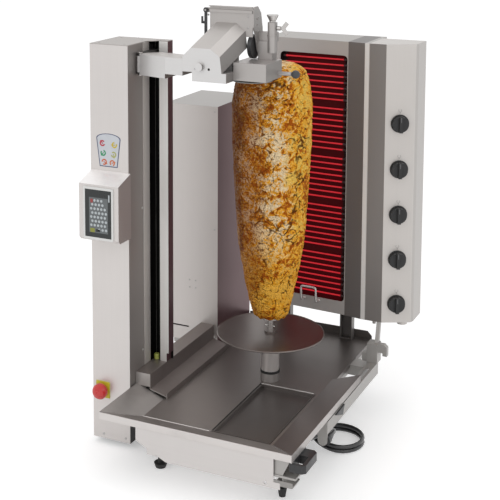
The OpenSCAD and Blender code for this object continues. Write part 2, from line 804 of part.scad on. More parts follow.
module drip_drawer() {
    cut = front_bottom + 25;
    color([0.82, 0.80, 0.79]) {
        difference() {
            slab(drawer_x0, drawer_x1, drawer_y0 - 1, drawer_y1, drawer_z0, drawer_z0 + drawer_h);
            slab(drawer_x0 + pan_t, drawer_x1 - pan_t, drawer_y0 + pan_t, drawer_y1 - pan_t,
                 drawer_z0 + pan_t, rim_z);
        }
        difference() {
            front_profile([
                [front_x0, front_top], [front_x1, front_top], [front_x1, front_bottom + 16],
                [front_x1 + 16, front_bottom + 16], [front_x1 + 16, front_bottom],
                [front_x0 + 82, front_bottom], [front_x0 + 27, cut], [front_x0, cut + 14]
            ], drawer_y0 - sheet, drawer_y0);
            rod_y(front_x1 - 20, drawer_y0 - sheet - 1, drawer_y0 + 1, front_bottom + 10, 4);
        }
    }
}

// Frame, rail and feet
module base_frame() {
    ledge_z = drawer_z0 - run_gap;
    side_x = runner_right + runner_w;
    shelf_z = rail_z0 - 8;
    color([0.70, 0.69, 0.67]) {
        difference() {
            union() {
                slab(runner_left, runner_left + runner_w, front_y + 96, back_y - 10, frame_z0, frame_top);
                slab(runner_right, side_x, front_y + 96, slope_y1 - 28, frame_z0, frame_top);
                slab(inner_x, inner_x + runner_w, slope_y1 - 52, back_y - 10, frame_z0, frame_top);
                slab(column_x1, rail_x0 + 1, front_beam_y, front_beam_y + 25, frame_z0, frame_top);
                slab(inner_x, side_x, slope_y1 - 53, slope_y1 - 28, frame_z0, frame_top);
                slab(left_x + 4, rail_x0 + 1, rear_beam_y, rear_beam_y + 50, frame_z0, frame_top);
                slab(left_x + 4, inner_x + 1, last_beam_y, last_beam_y + 28, frame_z0, frame_top);
                slab(beam_x0 + 8, beam_x1 - 8, front_beam_y, front_beam_y + 25, frame_top - 1, beam_z0);
            }
            upright(skewer_x, skewer_y, 0, rim_z, 56);
            slab(juice_x0 - 1, juice_x1 + 1, juice_y0, juice_y1, floor_z - juice_h - 1, rim_z);
        }
        for (x = [runner_left, runner_right])
            slab(x, x + runner_w, front_y + 96, front_beam_y + 1, frame_z0 - 4, frame_z0 + 1);
        slab(runner_left + runner_w - 3, drawer_x0 + 8, front_y + 96, front_beam_y + 1, ledge_z - 3, ledge_z);
        slab(runner_left + runner_w - 3, runner_left + runner_w, front_y + 96, front_beam_y + 1,
             ledge_z - 3, frame_z0);
        slab(drawer_x1 - 8, runner_right + 3, front_y + 96, front_beam_y + 1, ledge_z - 3, ledge_z);
        slab(runner_right, runner_right + 3, front_y + 96, front_beam_y + 1, ledge_z - 3, frame_z0);
        difference() {
            slab(rail_x0, rail_x1, rail_y0, rail_y1, rail_z0, rail_z1);
            slab(rail_x0 + 3, rail_x1 - 3, rail_y0 + 3, rail_y1 + 1, rail_z0 - 1, rail_z1 - 3);
            slab(rail_x0 + 9, rail_x0 + 17, rail_y1 - 119, rail_y1 - 50, rail_z1 - 4, rail_z1 + 1);
            rod_x(rail_x1 - 4, rail_x1 + 1, lock_y, lock_z, 5 + pin_gap);
        }
        slab(side_x - 1, rail_x0 + 1, rail_y0, rail_y0 + 25, frame_z0, frame_top);
        slab(rail_x0, rail_x1, rail_y0, rail_y0 + 3, gland_z, rail_z0 + 1);
        rod_y(rail_x0 + 12.5, rail_y0, rail_y0 + 3, gland_z, 12.5);
        slab(foot_x - 13, foot_x + 35, front_y + 94, front_y + 144, plate_z, plate_z + 3);
        slab(foot_x - 13, foot_x + 35, front_y + 94, front_y + 96, plate_z, plate_z + 14);
        slab(foot_x + 8, foot_x + 11, front_y + 96, front_y + 144, plate_z + 2, frame_z0 - 3);
        slab(side_x - 1, side_x + 2, front_y + 8, front_y + 106, shelf_z, frame_top);
        slab(side_x - 1, side_x + 65, front_y + 6, front_y + 76, shelf_z - 1, shelf_z + 4);
        front_profile([
            [side_x, shelf_z], [deck_x1 - 24, shelf_z], [deck_x1 - 23, shelf_z + 8],
            [deck_x1 - 9, flange_z - 5], [deck_x1 - 9, flange_z], [side_x, flange_z]
        ], front_y + 8, front_y + 10);
    }
}

module side_handle() {
    x0 = deck_x1 - 8;
    x1 = deck_x1 + 30;
    y0 = front_y + 6;
    y1 = front_y + 91;
    z1 = flange_z - 4;
    color([0.07, 0.07, 0.07]) {
        difference() {
            plan([[x0, y0], [x1 - 8, y0], [x1, y0 + 8], [x1, y1 - 8], [x1 - 8, y1], [x0, y1]], z1 - 20, z1);
            slab(x0 + 6, x1 - 9, y0 + 7, y1 - 37, z1 - 21, z1 + 1);
        }
        slab(x0, deck_x1, y0, y1, z1 - 1, flange_z);
    }
}

module feet() {
    color([0.12, 0.12, 0.12]) {
        translate([foot_x, foot_y, 0]) cylinder(r1 = 8, r2 = 12, h = 24);
        upright(foot_x, foot_y, 23, plate_z, 5);
        for (p = [[runner_left + 13, foot_y - 2, frame_z0 - 4], [runner_left + 13, back_y - 40, frame_z0],
                  [skewer_x + 20, back_y - 26, frame_z0], [left_x + 40, back_y - 26, frame_z0]]) {
            translate([p[0], p[1], 0]) cylinder(r1 = 13, r2 = 17, h = foot_h);
            upright(p[0], p[1], foot_h - 1, p[2], 7);
        }
        upright(left_x + column_w / 2, column_y0 + 60, 0, column_z0, 20);
    }
}

// Power box
module power_box() {
    color([0.76, 0.74, 0.73]) difference() {
        slab(left_x, power_x1, power_y0 + cover_t, power_y1, power_z0, power_top);
        slab(left_x + sheet, power_x1 - sheet, power_y0, power_y1 - sheet, power_z0 + sheet,
             power_top - sheet);
    }
}

module power_box_cover() {
    color([0.80, 0.78, 0.77]) difference() {
        slab(left_x, power_x1, power_y0, power_y0 + cover_t, power_z0, power_top);
        slab(left_x + 19, left_x + 71, power_y0 - 1, power_y0 + cover_t + 1, power_z0 + 39, power_z0 + 43);
        slab(beam_x0 + 3, beam_x1 - 3, power_y0 - 1, power_y0 + cover_t + 1, beam_z0 + 3, beam_z1 - 3);
    }
}

// Heater
heater_plan = [
    [heater_x0, heater_origin[1] + (heater_x0 - heater_origin[0]) * tan(heater_turn)],
    [slant_x, heater_origin[1] + (slant_x - heater_origin[0]) * tan(heater_turn)],
    [heater_x1 - 12, box_front_y], [heater_x1, box_front_y], [heater_x1, back_y], [heater_x0, back_y]
];

module heater_shell() {
    inner = [
        heater_plan[0] + [sheet, sheet + sheet * tan(heater_turn)], heater_plan[1] + [0, sheet],
        heater_plan[2] + [0, sheet],
        heater_plan[3] + [-sheet, sheet], heater_plan[4] - [sheet, sheet], heater_plan[5] + [sheet, -sheet]
    ];
    color([0.50, 0.47, 0.46]) difference() {
        plan(heater_plan, heater_z, heater_top);
        plan(inner, heater_z + sheet, heater_top - sheet);
        in_heater() rounded_window(-window_w / 2, window_w / 2, window_z0, window_z0 + window_h, 12, -8, 8);
    }
}

module heater_reflector() {
    z0 = window_z0 - 6;
    z1 = window_z0 + window_h + 6;
    x1 = window_w / 2 + 6;
    y0 = sheet;
    color([0.08, 0.07, 0.07]) in_heater() difference() {
        slab(-x1, x1, y0, y0 + tray_d, z0, z1);
        slab(sheet - x1, x1 - sheet, y0 - 1, y0 + tray_d - sheet, z0 + sheet, z1 - sheet);
    }
}

module heating_elements() {
    tube_x1 = window_w / 2 + 6 - sheet;
    group_h = window_h / groups;
    pitch = group_h / (tubes_in_group + 0.6);
    color([0.85, 0.12, 0.08]) in_heater() for (g = [0 : groups - 1], i = [0 : tubes_in_group - 1])
        rod_x(-tube_x1, tube_x1, 11, window_z0 + g * group_h + (i + 0.8) * pitch, tube_heat_r);
}

module heater_handle() {
    r = 3;
    z0 = heater_z + 29;
    z1 = z0 + 42;
    color([0.75, 0.72, 0.70]) in_heater() {
        for (x = [-20, 25]) {
            rod_y(x, -24, 0, z0, r);
            upright(x, -21, z0, z1, r);
        }
        rod_x(-20 - r, 25 + r, -21, z1, r);
    }
}

module heater_legs() {
    color([0.45, 0.43, 0.42]) for (x = [heater_x0, heater_x1 - 114]) {
        difference() {
            slab(x, x + 36, back_y - 34, back_y - 10, floor_z + run_gap, heater_z);
            slab(x + 3, x + 33, back_y - 35, back_y - 13, floor_z + run_gap + 3, heater_z - 3);
        }
    }
}

// Control box
module control_box() {
    outline = [
        [heater_x1, box_front_y], panel_0, panel_1, [right_x, box_front_y + 49],
        [right_x, box_back_y], [heater_x1, box_back_y]
    ];
    inner = [
        [heater_x1 + sheet, box_front_y + sheet], panel_0 + [-1, sheet], panel_1 + [-sheet, 1],
        [right_x - sheet, box_front_y + 50], [right_x - sheet, box_back_y - sheet],
        [heater_x1 + sheet, box_back_y - sheet]
    ];
    color([0.78, 0.76, 0.74]) {
        difference() {
            plan(outline, heater_z, heater_top);
            plan(inner, heater_z + sheet, heater_top - sheet);
            for (i = [0 : 4]) on_panel(knob_z0 + i * knob_pitch)
                translate([0, 0, -10]) cylinder(r = 4 + pin_gap, h = 20);
        }
        upright(right_x - 34, box_front_y + 58, heater_z - 14, heater_z + 1, 14);
        upright(heater_x1 + 22, box_front_y + 18, heater_z - 12, heater_z + 1, 5);
    }
}

module control_knob(index) {
    color([0.07, 0.07, 0.08]) on_panel(knob_z0 + index * knob_pitch) {
        translate([0, 0, run_gap]) cylinder(r1 = knob_r, r2 = knob_r - 1, h = 5);
        translate([0, 0, run_gap + 4]) cylinder(r = knob_r - 3, h = 10);
        translate([-4.5, 3 - knob_r, run_gap + 13]) cube([9, 2 * knob_r - 6, 9]);
        translate([0, 0, -8]) cylinder(r = 4, h = 9);
    }
}

module knob_1() { control_knob(0); }
module knob_2() { control_knob(1); }
module knob_3() { control_knob(2); }
module knob_4() { control_knob(3); }
module knob_5() { control_knob(4); }

// Clamp that carries the heater on the slide rail
module rail_clamp() {
    z0 = rail_z1 + run_gap;
    color([0.68, 0.66, 0.65]) {
        slab(rail_x0 - 3.5, rail_x1 + 1, clamp_y0, clamp_y1, z0, z0 + 54);
        slab(rail_x0 - 3.5, rail_x0 - run_gap, clamp_y0, clamp_y1, frame_top + 1, z0 + 1);
        slab(rail_x0 - 18, rail_x0 - 3, clamp_y0 + 2, clamp_y0 + 22, z0 + 2, z0 + 26);
        side_profile([
            [clamp_y0 + 14, z0 + 53], [clamp_y0 + 28, z0 + 53], [clamp_y0 + 40, heater_z],
            [clamp_y0 + 28, heater_z]
        ], heater_x1 + 34, heater_x1 + 44);
        front_profile([
            [rail_x1, z0 + 30], [rail_x1 + 14, z0 + 30], [rail_x1 + 14, z0 + 22],
            [rail_x1 + 26, z0 + 22], [rail_x1 + 26, z0 + 46], [rail_x1 + 18, z0 + 54],
            [rail_x1, z0 + 54]
        ], clamp_y0 + 6, clamp_y0 + 22);
    }
}

module lock_lever() {
    x = rail_x1 + run_gap;
    color([0.08, 0.08, 0.08]) {
        side_profile([
            [lock_y - 46, lock_z + 8], [lock_y + 6, lock_z - 12], [lock_y + 11, lock_z],
            [lock_y + 20, lock_z + 11]
        ], x, x + 4);
        rod_x(rail_x1 - 9, x + 4, lock_y, lock_z, 5);
    }
}

// Cord
module cable_gland() {
    y0 = rail_y0 + 3;
    color([0.06, 0.06, 0.06]) {
        rod_y(gland_x, y0, y0 + 14, gland_z, 10.5);
        translate([gland_x, gland_y1, gland_z]) rotate([90, 0, 0])
            cylinder(r1 = cord_r + 1.5, r2 = 10, h = gland_y1 - y0 - 13);
    }
}

function unit(v) = v / norm(v);
function last(list) = list[len(list) - 1];
function heading(path, i) =
    i == 0 ? unit(path[1] - path[0])
    : i == len(path) - 1 ? unit(path[i] - path[i - 1])
    : unit(unit(path[i + 1] - path[i]) + unit(path[i] - path[i - 1]));
function carried(normal, direction) = unit(normal - direction * (normal * direction));
function normals(path, i = 0, list = []) =
    i == len(path) ? list
    : normals(path, i + 1, concat(list, [carried(i == 0 ? [0, 0, 1] : last(list), heading(path, i))]));
function ring(centre, direction, normal, r, sides) = [
    for (k = [0 : sides - 1])
        let (a = (k + 0.5) * 360 / sides)
        centre + r * (cos(a) * normal + sin(a) * cross(direction, normal))
];

module tube(path, r, sides) {
    n = normals(path);
    count = len(path);
    points = [for (i = [0 : count - 1]) each ring(path[i], heading(path, i), n[i], r, sides)];
    walls = [
        for (i = [0 : count - 2], k = [0 : sides - 1])
            let (a = i * sides + k, b = i * sides + (k + 1) % sides)
            each [[a, a + sides, b], [b, a + sides, b + sides]]
    ];
    start = [for (k = [1 : sides - 2]) [0, k, k + 1]];
    base = (count - 1) * sides;
    end = [for (k = [1 : sides - 2]) [base, base + k + 1, base + k]];
    polyhedron(points, concat(start, walls, end));
}

// The turns run clockwise seen from above, from the left of the ring, and climb together
function climb(travel) =
    let (turn = floor(travel / 360), part = travel - 360 * turn)
    turn + (part <= coil_climb_from ? 0 : part >= coil_climb_to ? 1
        : (1 - cos(180 * (part - coil_climb_from) / (coil_climb_to - coil_climb_from))) / 2);
function coil_point(travel) = [
    coil_x + coil_r * cos(180 - travel), coil_y + coil_r * sin(180 - travel),
    cord_low + coil_step * climb(travel)
];
coil_path = concat(
    [[coil_x0, coil_y - cord_d, cord_low]],
    [for (i = [0 : coil_rings * coil_turns]) coil_point(i * 360 / coil_rings)],
    [[coil_x0, coil_y + cord_d, tail_z]]
);
function coil_gap() = min([
    for (i = [0 : len(coil_path) - 1], j = [0 : len(coil_path) - 1])
        if (j - i > 6) norm(coil_path[j] - coil_path[i]) - cord_d
]);
echo(least_gap_of_coil_to_itself = coil_gap());

module cord_lead() {
    color([0.03, 0.03, 0.03]) tube(lead_points, cord_r, 8);
}

module cord_coil() {
    color([0.03, 0.03, 0.03]) tube(coil_path, cord_r, coil_sides);
}

module cord_tail() {
    color([0.03, 0.03, 0.03]) tube(tail_points, cord_r, 8);
}

module power_plug() {
    tip = last(tail_points);
    color([0.06, 0.06, 0.06]) {
        translate(tip) rotate([0, -90, 0]) cylinder(r1 = cord_r + 0.2, r2 = 9, h = 19);
        slab(tip[0] - 44, tip[0] - 18, tip[1] - 19, tip[1] + 19, 0.3, 25);
        for (s = [-1, 1]) rod_x(tip[0] - 63, tip[0] - 43, tip[1] + s * 9.5, 14, 2.4);
    }
}

// Screws of the fixed casings
module screw_y(x, y, z) {
    translate([x, y, z]) rotate([90, 0, 0]) cylinder(r1 = 3.2, r2 = 2.2, h = 1.4);
}

module screw_x(x, y, z) {
    translate([x, y, z]) rotate([0, 90, 0]) cylinder(r1 = 3.2, r2 = 2.2, h = 1.4);
}

module screws() {
    color([0.60, 0.59, 0.58]) {
        for (x = [31, 96]) screw_y(left_x + x, column_y0, column_z0 + 12);
        for (z = [245, 625]) screw_x(column_x1, column_y0 + 70, z);
        for (x = [74, 93]) screw_y(left_x + x, power_y0, power_z0 + 160);
        for (x = [10, power_w - 10], z = [20, 340, 680]) screw_y(left_x + x, power_y0, power_z0 + z);
    }
}

column_casing();
column_top_plate();
column_post();
guide_rods();
lead_screw();
lift_motor();
display_housing();
display_bezel();
display_glass();
estop_plate();
estop_button();
carriage();
pivot_pin();
swing_arm();
cutter_housing();
cutter_back_plate();
cutter_latch();
blade_guard();
blade_drive();
cutter_blade();
gauge_beam();
gauge_roller();
adjuster_block();
adjuster_knob();
wing_screw();
skewer();
meat();
drip_disc();
drive_sleeve();
seal_ring();
skewer_motor();
deck_pan();
juice_pan();
side_chute();
box_beam();
drip_drawer();
base_frame();
side_handle();
feet();
power_box();
power_box_cover();
heater_shell();
heater_reflector();
heating_elements();
heater_handle();
heater_legs();
control_box();
knob_1();
knob_2();
knob_3();
knob_4();
knob_5();
rail_clamp();
lock_lever();
cable_gland();
cord_lead();
cord_coil();
cord_tail();
power_plug();
screws();
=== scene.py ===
"""Studio view of an electric skewer grill.

Run as a script in Blender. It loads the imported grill, gives every piece its finish, builds the
roast meat, the glowing heating tubes, the mains cord and the small fittings round it, and sets
up the floor, the lamps and the camera. Everything is in metres, in the grill's own frame.
"""

import math

import bmesh
import bpy
import numpy as np
from bpy.props import FloatProperty, FloatVectorProperty, IntProperty, PointerProperty
from mathutils import Matrix, Vector, noise


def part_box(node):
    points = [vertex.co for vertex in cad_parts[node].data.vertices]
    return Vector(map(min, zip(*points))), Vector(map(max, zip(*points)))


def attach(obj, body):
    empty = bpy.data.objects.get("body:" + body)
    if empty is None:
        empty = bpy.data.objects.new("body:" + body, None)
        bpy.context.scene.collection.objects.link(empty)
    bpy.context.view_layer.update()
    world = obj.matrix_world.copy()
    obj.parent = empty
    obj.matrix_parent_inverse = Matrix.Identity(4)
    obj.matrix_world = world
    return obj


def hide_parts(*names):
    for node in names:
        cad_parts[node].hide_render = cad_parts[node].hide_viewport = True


bl_info = {
    "name": "Skewer grill studio",
    "version": (1, 0, 0),
    "blender": (4, 5, 0),
    "location": "View3D > Sidebar > Skewer grill",
    "description": "Finishes, meat, heating tubes, fittings and studio of an electric skewer grill",
    "category": "Object",
}

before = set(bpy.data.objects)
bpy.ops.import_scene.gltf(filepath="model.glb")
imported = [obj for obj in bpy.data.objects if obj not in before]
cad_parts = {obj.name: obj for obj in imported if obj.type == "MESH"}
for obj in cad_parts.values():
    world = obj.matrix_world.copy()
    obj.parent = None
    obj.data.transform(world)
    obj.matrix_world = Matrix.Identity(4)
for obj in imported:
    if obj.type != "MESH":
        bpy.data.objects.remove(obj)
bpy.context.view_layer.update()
MM = 0.001

MEAT_LOW, MEAT_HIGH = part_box("meat")
SKEWER_X = (MEAT_LOW.x + MEAT_HIGH.x) / 2
SKEWER_Y = (MEAT_LOW.y + MEAT_HIGH.y) / 2
HEATER_ORIGIN = Vector((0.060, 0.266, 0.0))
HEATER_TURN = math.radians(-4)
KNOB_NORMAL = Vector((36, -70, 0)).normalized()
EYE = (1.1852, -2.7473, 1.4443)

# Directions that walls look along, used to paint light and shade onto the walls that face them.
# The left and right slopes are longer than 1, so that a gently sloping fold already counts.
UP, DOWN, FRONT, LEFT, RIGHT = (0, 0, 1), (0, 0, -1), (0, -1, 0), (-1, 0, 0), (1, 0, 0)
SLOPE_LEFT, SLOPE_RIGHT, SLOPE_FRONT = (-2.7, 0, 0), (2.7, 0, 0), (0, -0.85, -0.5)
# How much finer than a metre the brushing is along each axis.
TALL, WIDE, DEEP, ROUND, EVEN = (
    (900, 900, 8), (8, 900, 900), (900, 8, 900), (60, 60, 1600), (900, 900, 900)
)
# Boxes, as low and high corners. A darker steel colour painted into some of them is painted shade
# and shadow, and a lighter one in others is painted light.
COLUMN_RIGHT, SLOT_WIDTH, WALL = -0.239, 0.040, 0.0012
HEATER_SLANT = (0.1634, 0.2, 0), (0.2134, 0.4, 2)
HEATER_STRIP = (0.2134, 0.2, 0), (0.2255, 0.2505, 2)
PANEL_LEFT = (0.2265, 0.2, 0), (0.2735, 0.2505, 2)
PANEL_RIGHT = (0.3448, 0.2, 0), (0.3500, 0.4, 2)
DECK_BACK = (-2, -0.12, -1), (2, 3, 1)
SHADOW = (0.010, 0.009, 0.008)
BLUR = 0.0004
INK = 0.0002


# ---------------------------------------------------------------- settings


def number(name, description, default, low=0.0, high=1.0, **more):
    return FloatProperty(
        name=name, description=description, default=default, min=low, max=high, **more
    )


def length(name, description, default, low=0.0, high=5.0):
    return number(name, description, default, low, high, unit="LENGTH")


def share(name, description, default):
    return number(name, description, default, subtype="FACTOR")


def angle(name, description, degrees):
    return number(name, description, math.radians(degrees), -math.pi, math.pi, subtype="ANGLE")


def count(name, description, default, low, high):
    return IntProperty(name=name, description=description, default=default, min=low, max=high)


def colour(name, description, default):
    return FloatVectorProperty(
        name=name, description=description, default=default, size=3, min=0, max=1, subtype="COLOR"
    )


class SteelSettings(bpy.types.PropertyGroup):
    light: colour("Light steel", "Brushed steel of the casings", (0.640, 0.606, 0.588))
    # Painted shade: a darker copy of the casing steel for the walls that face right, towards the
    # heater.
    shaded: colour("Shaded steel", "Steel of the walls that face the heater", (0.285, 0.262, 0.250))
    # Painted shade and dark reflections: a darkened steel colour for the deck and the pans.
    deck: colour("Deck steel", "Steel of the deck and the pans", (0.158, 0.141, 0.133))
    grain: share("Grain", "Depth of the brushing in the steel", 0.09)
    metal: share("Metal", "How much the steel mirrors its surroundings", 0.55)
    edge: length("Edge radius", "Radius of the folded edges", 0.0007, 0.0, 0.005)


class MeatSettings(bpy.types.PropertyGroup):
    golden: colour("Golden", "Roasted outside of the meat", (1.0, 0.475, 0.030))
    cream: colour("Cream", "Pale, just cut meat", (1.0, 0.80, 0.50))
    # This colour stands for dark roasted meat and also for painted shade in the hollows and on the
    # left side.
    crust_and_shade: colour("Crust", "Dark crust in the hollows", (0.062, 0.014, 0.0010))
    flake: length("Flake size", "Size of one slice's edge", 0.021, 0.005, 0.06)
    depth: length("Depth", "Depth of the hollows between slices", 0.0070, 0.0, 0.02)
    columns: count("Columns", "Mesh columns round the meat", 420, 60, 900)
    rows: count("Rows", "Mesh rows up the meat", 560, 60, 1200)


class HeaterSettings(bpy.types.PropertyGroup):
    glow: colour("Glow", "Colour of the glowing tubes", (0.46, 0.010, 0.018))
    strength: number("Strength", "Strength of the tubes' glow", 1.0, 0, 20)
    tube: length("Tube radius", "Radius of one heating tube", 0.0021, 0.001, 0.005)
    groups: count("Groups", "Separately switched tube groups", 5, 1, 9)
    runs: count("Rods", "Straight rods in one group", 8, 2, 12)


class PanelSettings(bpy.types.PropertyGroup):
    screen: colour("Screen", "Lit ground of the display", (0.15, 0.165, 0.17))
    keys: colour("Keys", "Round keys on the display", (0.50, 0.54, 0.56))
    sticker: colour("Sticker", "Ground of the control sticker", (0.60, 0.62, 0.66))
    marks: colour("Marks", "Dial marks on the control box", (0.30, 0.29, 0.28))


class CordSettings(bpy.types.PropertyGroup):
    diameter: length("Diameter", "Diameter of the mains cord", 0.0104, 0.004, 0.02)
    coil: length("Coil radius", "Radius of the cord's coil", 0.064, 0.03, 0.2)
    rubber: colour("Rubber", "Colour of the cord's rubber", (0.022, 0.022, 0.024))


class StageSettings(bpy.types.PropertyGroup):
    floor: colour("Floor", "Colour of the floor", (0.93, 0.93, 0.93))
    fill: number("Fill", "Level of the light from all round", 0.75, 0, 3)
    key: number("Key lamp", "Power of the front lamp in watts", 13, 0, 500)
    lens: number("Lens", "Focal length in millimetres", 84.17, 20, 300)
    shift_x: number("Shift X", "Sideways shift of the picture", 0.1034, -1, 1)
    shift_y: number("Shift Y", "Upward shift of the picture", -0.4375, -1, 1)
    azimuth: angle("Azimuth", "Turn of the camera round the grill", 26.16)
    pitch: angle("Pitch", "Angle that the camera looks down", 7.0)


# ---------------------------------------------------------------- node trees


class Tree:
    """Short calls for building one node tree."""

    def __init__(self, tree):
        self.tree = tree

    def put(self, socket, value):
        """Links a socket to an input, or sets the input's own value."""
        if isinstance(value, bpy.types.NodeSocket):
            self.tree.links.new(value, socket)
        elif socket.type == "RGBA":
            socket.default_value = (*value[:3], 1)
        else:
            socket.default_value = value

    def add(self, kind, inputs=None, **settings):
        made = self.tree.nodes.new(kind)
        for name, value in settings.items():
            setattr(made, name, value)
        for key, value in (inputs or {}).items():
            self.put(made.inputs[key], value)
        return made

    def drive(self, node, **inputs):
        """Fills a node's inputs by name, with _ for the spaces."""
        for name, value in inputs.items():
            self.put(node.inputs[name.replace("_", " ")], value)

    def math(self, operation, a, b=0.5, c=0.5, clamp=False):
        values = {0: a, 1: b, 2: c}
        return self.add("ShaderNodeMath", values, operation=operation, use_clamp=clamp).outputs[0]

    def plus(self, a, b):
        return self.math("ADD", a, b)

    def minus(self, a, b):
        return self.math("SUBTRACT", a, b)

    def times(self, a, b):
        return self.math("MULTIPLY", a, b)

    def vector(self, operation, a, b=(0, 0, 0)):
        made = self.add("ShaderNodeVectorMath", {0: a, 1: b}, operation=operation)
        return made.outputs["Value" if operation == "DOT_PRODUCT" else "Vector"]

    def axes(self, vector):
        return self.add("ShaderNodeSeparateXYZ", {0: vector}).outputs

    def mix(self, factor, a, b):
        made = self.add("ShaderNodeMix", data_type="RGBA")
        for index, value in ((0, factor), (6, a), (7, b)):
            self.put(made.inputs[index], value)
        return made.outputs[2]

    def bump(self, height, strength, distance, **normal):
        """A bump's normal. normal may hold Normal, the normal that it starts from."""
        values = {"Height": height, "Strength": strength, "Distance": distance, **normal}
        return self.add("ShaderNodeBump", values).outputs[0]

    def steps(self, value, low, high, out_low=0.0, out_high=1.0):
        made = self.add(
            "ShaderNodeMapRange",
            {0: value, 1: low, 2: high, 3: out_low, 4: out_high},
            interpolation_type="SMOOTHSTEP",
        )
        return made.outputs[0]

    def noise(self, vector, scale, detail=3.0, rough=0.55, twist=0.0):
        made = self.add(
            "ShaderNodeTexNoise",
            {"Vector": vector, "Scale": scale, "Detail": detail, "Roughness": rough,
             "Distortion": twist},
        )
        return made.outputs["Fac"]

    def seen(self, *more):
        """1 on the rays of the camera and of reflections, and on those that more names."""
        ray = self.add("ShaderNodeLightPath").outputs
        found = ray["Is Camera Ray"]
        for name in ("Is Glossy Ray", *more):
            found = self.math("MAXIMUM", found, ray[name])
        return found

    def place(self, output="Object"):
        return self.add("ShaderNodeTexCoord").outputs[output]


def new_group(name, inputs, outputs):
    """An empty shader node group with named sockets: (group, tree, its input node's outputs)."""
    group = bpy.data.node_groups.new(name, "ShaderNodeTree")
    kinds = {"value": "NodeSocketFloat", "colour": "NodeSocketColor", "vector": "NodeSocketVector"}
    for socket, (kind, value) in inputs.items():
        made = group.interface.new_socket(socket, in_out="INPUT", socket_type=kinds[kind])
        made.default_value = value
    for socket, kind in outputs.items():
        group.interface.new_socket(socket, in_out="OUTPUT", socket_type=kinds[kind])
    tree = Tree(group)
    return group, tree, tree.add("NodeGroupInput").outputs


def finish_group(tree, **results):
    tree.drive(tree.add("NodeGroupOutput"), **results)


def effect(name):
    """The shader node group of that name, built once."""
    return bpy.data.node_groups.get(name) or EFFECTS[name](name)


def build_brushing(name):
    """Fine parallel scratches, stretched by Stretch, and slow uneven spots in the reflection."""
    group, t, given = new_group(
        name,
        {"Stretch": ("vector", (900, 900, 9)), "Depth": ("value", 0.3), "Gloss": ("value", 0.3)},
        {"Roughness": "value", "Height": "value", "Tone": "value"},
    )
    where = t.place()
    fine = t.noise(t.vector("MULTIPLY", where, given["Stretch"]), 1.0, 2.0, 0.6)
    broad = t.noise(t.vector("MULTIPLY", where, given["Stretch"]), 0.13, 2.0, 0.5)
    spots = t.noise(where, 5.5, 3.0, 0.55, 0.4)
    scratch = t.plus(t.times(fine, 0.65), t.times(broad, 0.35))
    centred = t.minus(scratch, 0.5)
    uneven = t.times(t.minus(spots, 0.5), 0.10)
    rough = t.plus(t.math("MULTIPLY_ADD", centred, given["Depth"], given["Gloss"]), uneven)
    tone = t.plus(t.math("MULTIPLY_ADD", centred, given["Depth"], 1.0), uneven)
    finish_group(t, Roughness=rough, Height=t.times(scratch, given["Depth"]), Tone=tone)
    return group


def build_soft_edge(name):
    """A rounded normal near folds, and a mask of the folds themselves."""
    group, t, given = new_group(
        name, {"Radius": ("value", 0.001)}, {"Normal": "vector", "Mask": "value"}
    )
    round_normal = t.add("ShaderNodeBevel", {"Radius": given["Radius"]}, samples=4).outputs[0]
    flat = t.add("ShaderNodeNewGeometry").outputs["True Normal"]
    same = t.vector("DOT_PRODUCT", round_normal, flat)
    finish_group(t, Normal=round_normal, Mask=t.steps(same, 0.995, 0.85))
    return group


def build_facing(name):
    """A mask of the faces that look along Toward, in the piece's own frame."""
    group, t, given = new_group(name, {"Toward": ("vector", (1, 0, 0))}, {"Mask": "value"})
    along = t.vector("DOT_PRODUCT", t.place("Normal"), given["Toward"])
    finish_group(t, Mask=t.steps(along, 0.55, 0.9))
    return group


def build_inside(name):
    """A mask of the space between the corners Low and High, with edges as soft as Blur."""
    group, t, given = new_group(
        name,
        {"Low": ("vector", (0, 0, 0)), "High": ("vector", (1, 1, 1)), "Blur": ("value", 0.0005)},
        {"Mask": "value"},
    )
    where = t.place()
    centre = t.vector("MULTIPLY", t.vector("ADD", given["Low"], given["High"]), (0.5, 0.5, 0.5))
    half = t.vector("MULTIPLY", t.vector("SUBTRACT", given["High"], given["Low"]), (0.5, 0.5, 0.5))
    off = t.vector("SUBTRACT", half, t.vector("ABSOLUTE", t.vector("SUBTRACT", where, centre)))
    x, y, z = t.axes(off)
    least = t.math("MINIMUM", t.math("MINIMUM", x, y), z)
    finish_group(t, Mask=t.math("DIVIDE", least, given["Blur"], clamp=True))
    return group


def build_grime(name):
    """Cloudy roast stains: a mask with blotches of the size Size."""
    group, t, given = new_group(
        name, {"Size": ("value", 8.0), "Amount": ("value", 0.5)}, {"Mask": "value"}
    )
    cloud = t.noise(t.place(), given["Size"], 6.0, 0.62, 0.8)
    finish_group(t, Mask=t.times(t.steps(cloud, 0.45, 0.75), given["Amount"]))
    return group


EFFECTS = {
    "Brushing": build_brushing,
    "Soft edge": build_soft_edge,
    "Facing": build_facing,
    "Inside": build_inside,
    "Grime": build_grime,
}


def new_finish(name, **shader):
    """A material with one Principled BSDF: (material, tree, shader node)."""
    made = bpy.data.materials.new(name)
    made.use_nodes = True
    t = Tree(made.node_tree)
    principled = made.node_tree.nodes["Principled BSDF"]
    t.drive(principled, **shader)
    return made, t, principled


def use(t, name, **inputs):
    """Places a shared effect in a material and returns its outputs."""
    made = t.add("ShaderNodeGroup", node_tree=effect(name))
    t.drive(made, **inputs)
    return made.outputs


def scaled(t, tint, factor):
    """A colour times a value."""
    if not isinstance(tint, bpy.types.NodeSocket):
        tint = t.mix(0.0, tint, tint)
    return t.add("ShaderNodeVectorMath", {0: tint, "Scale": factor}, operation="SCALE").outputs[0]


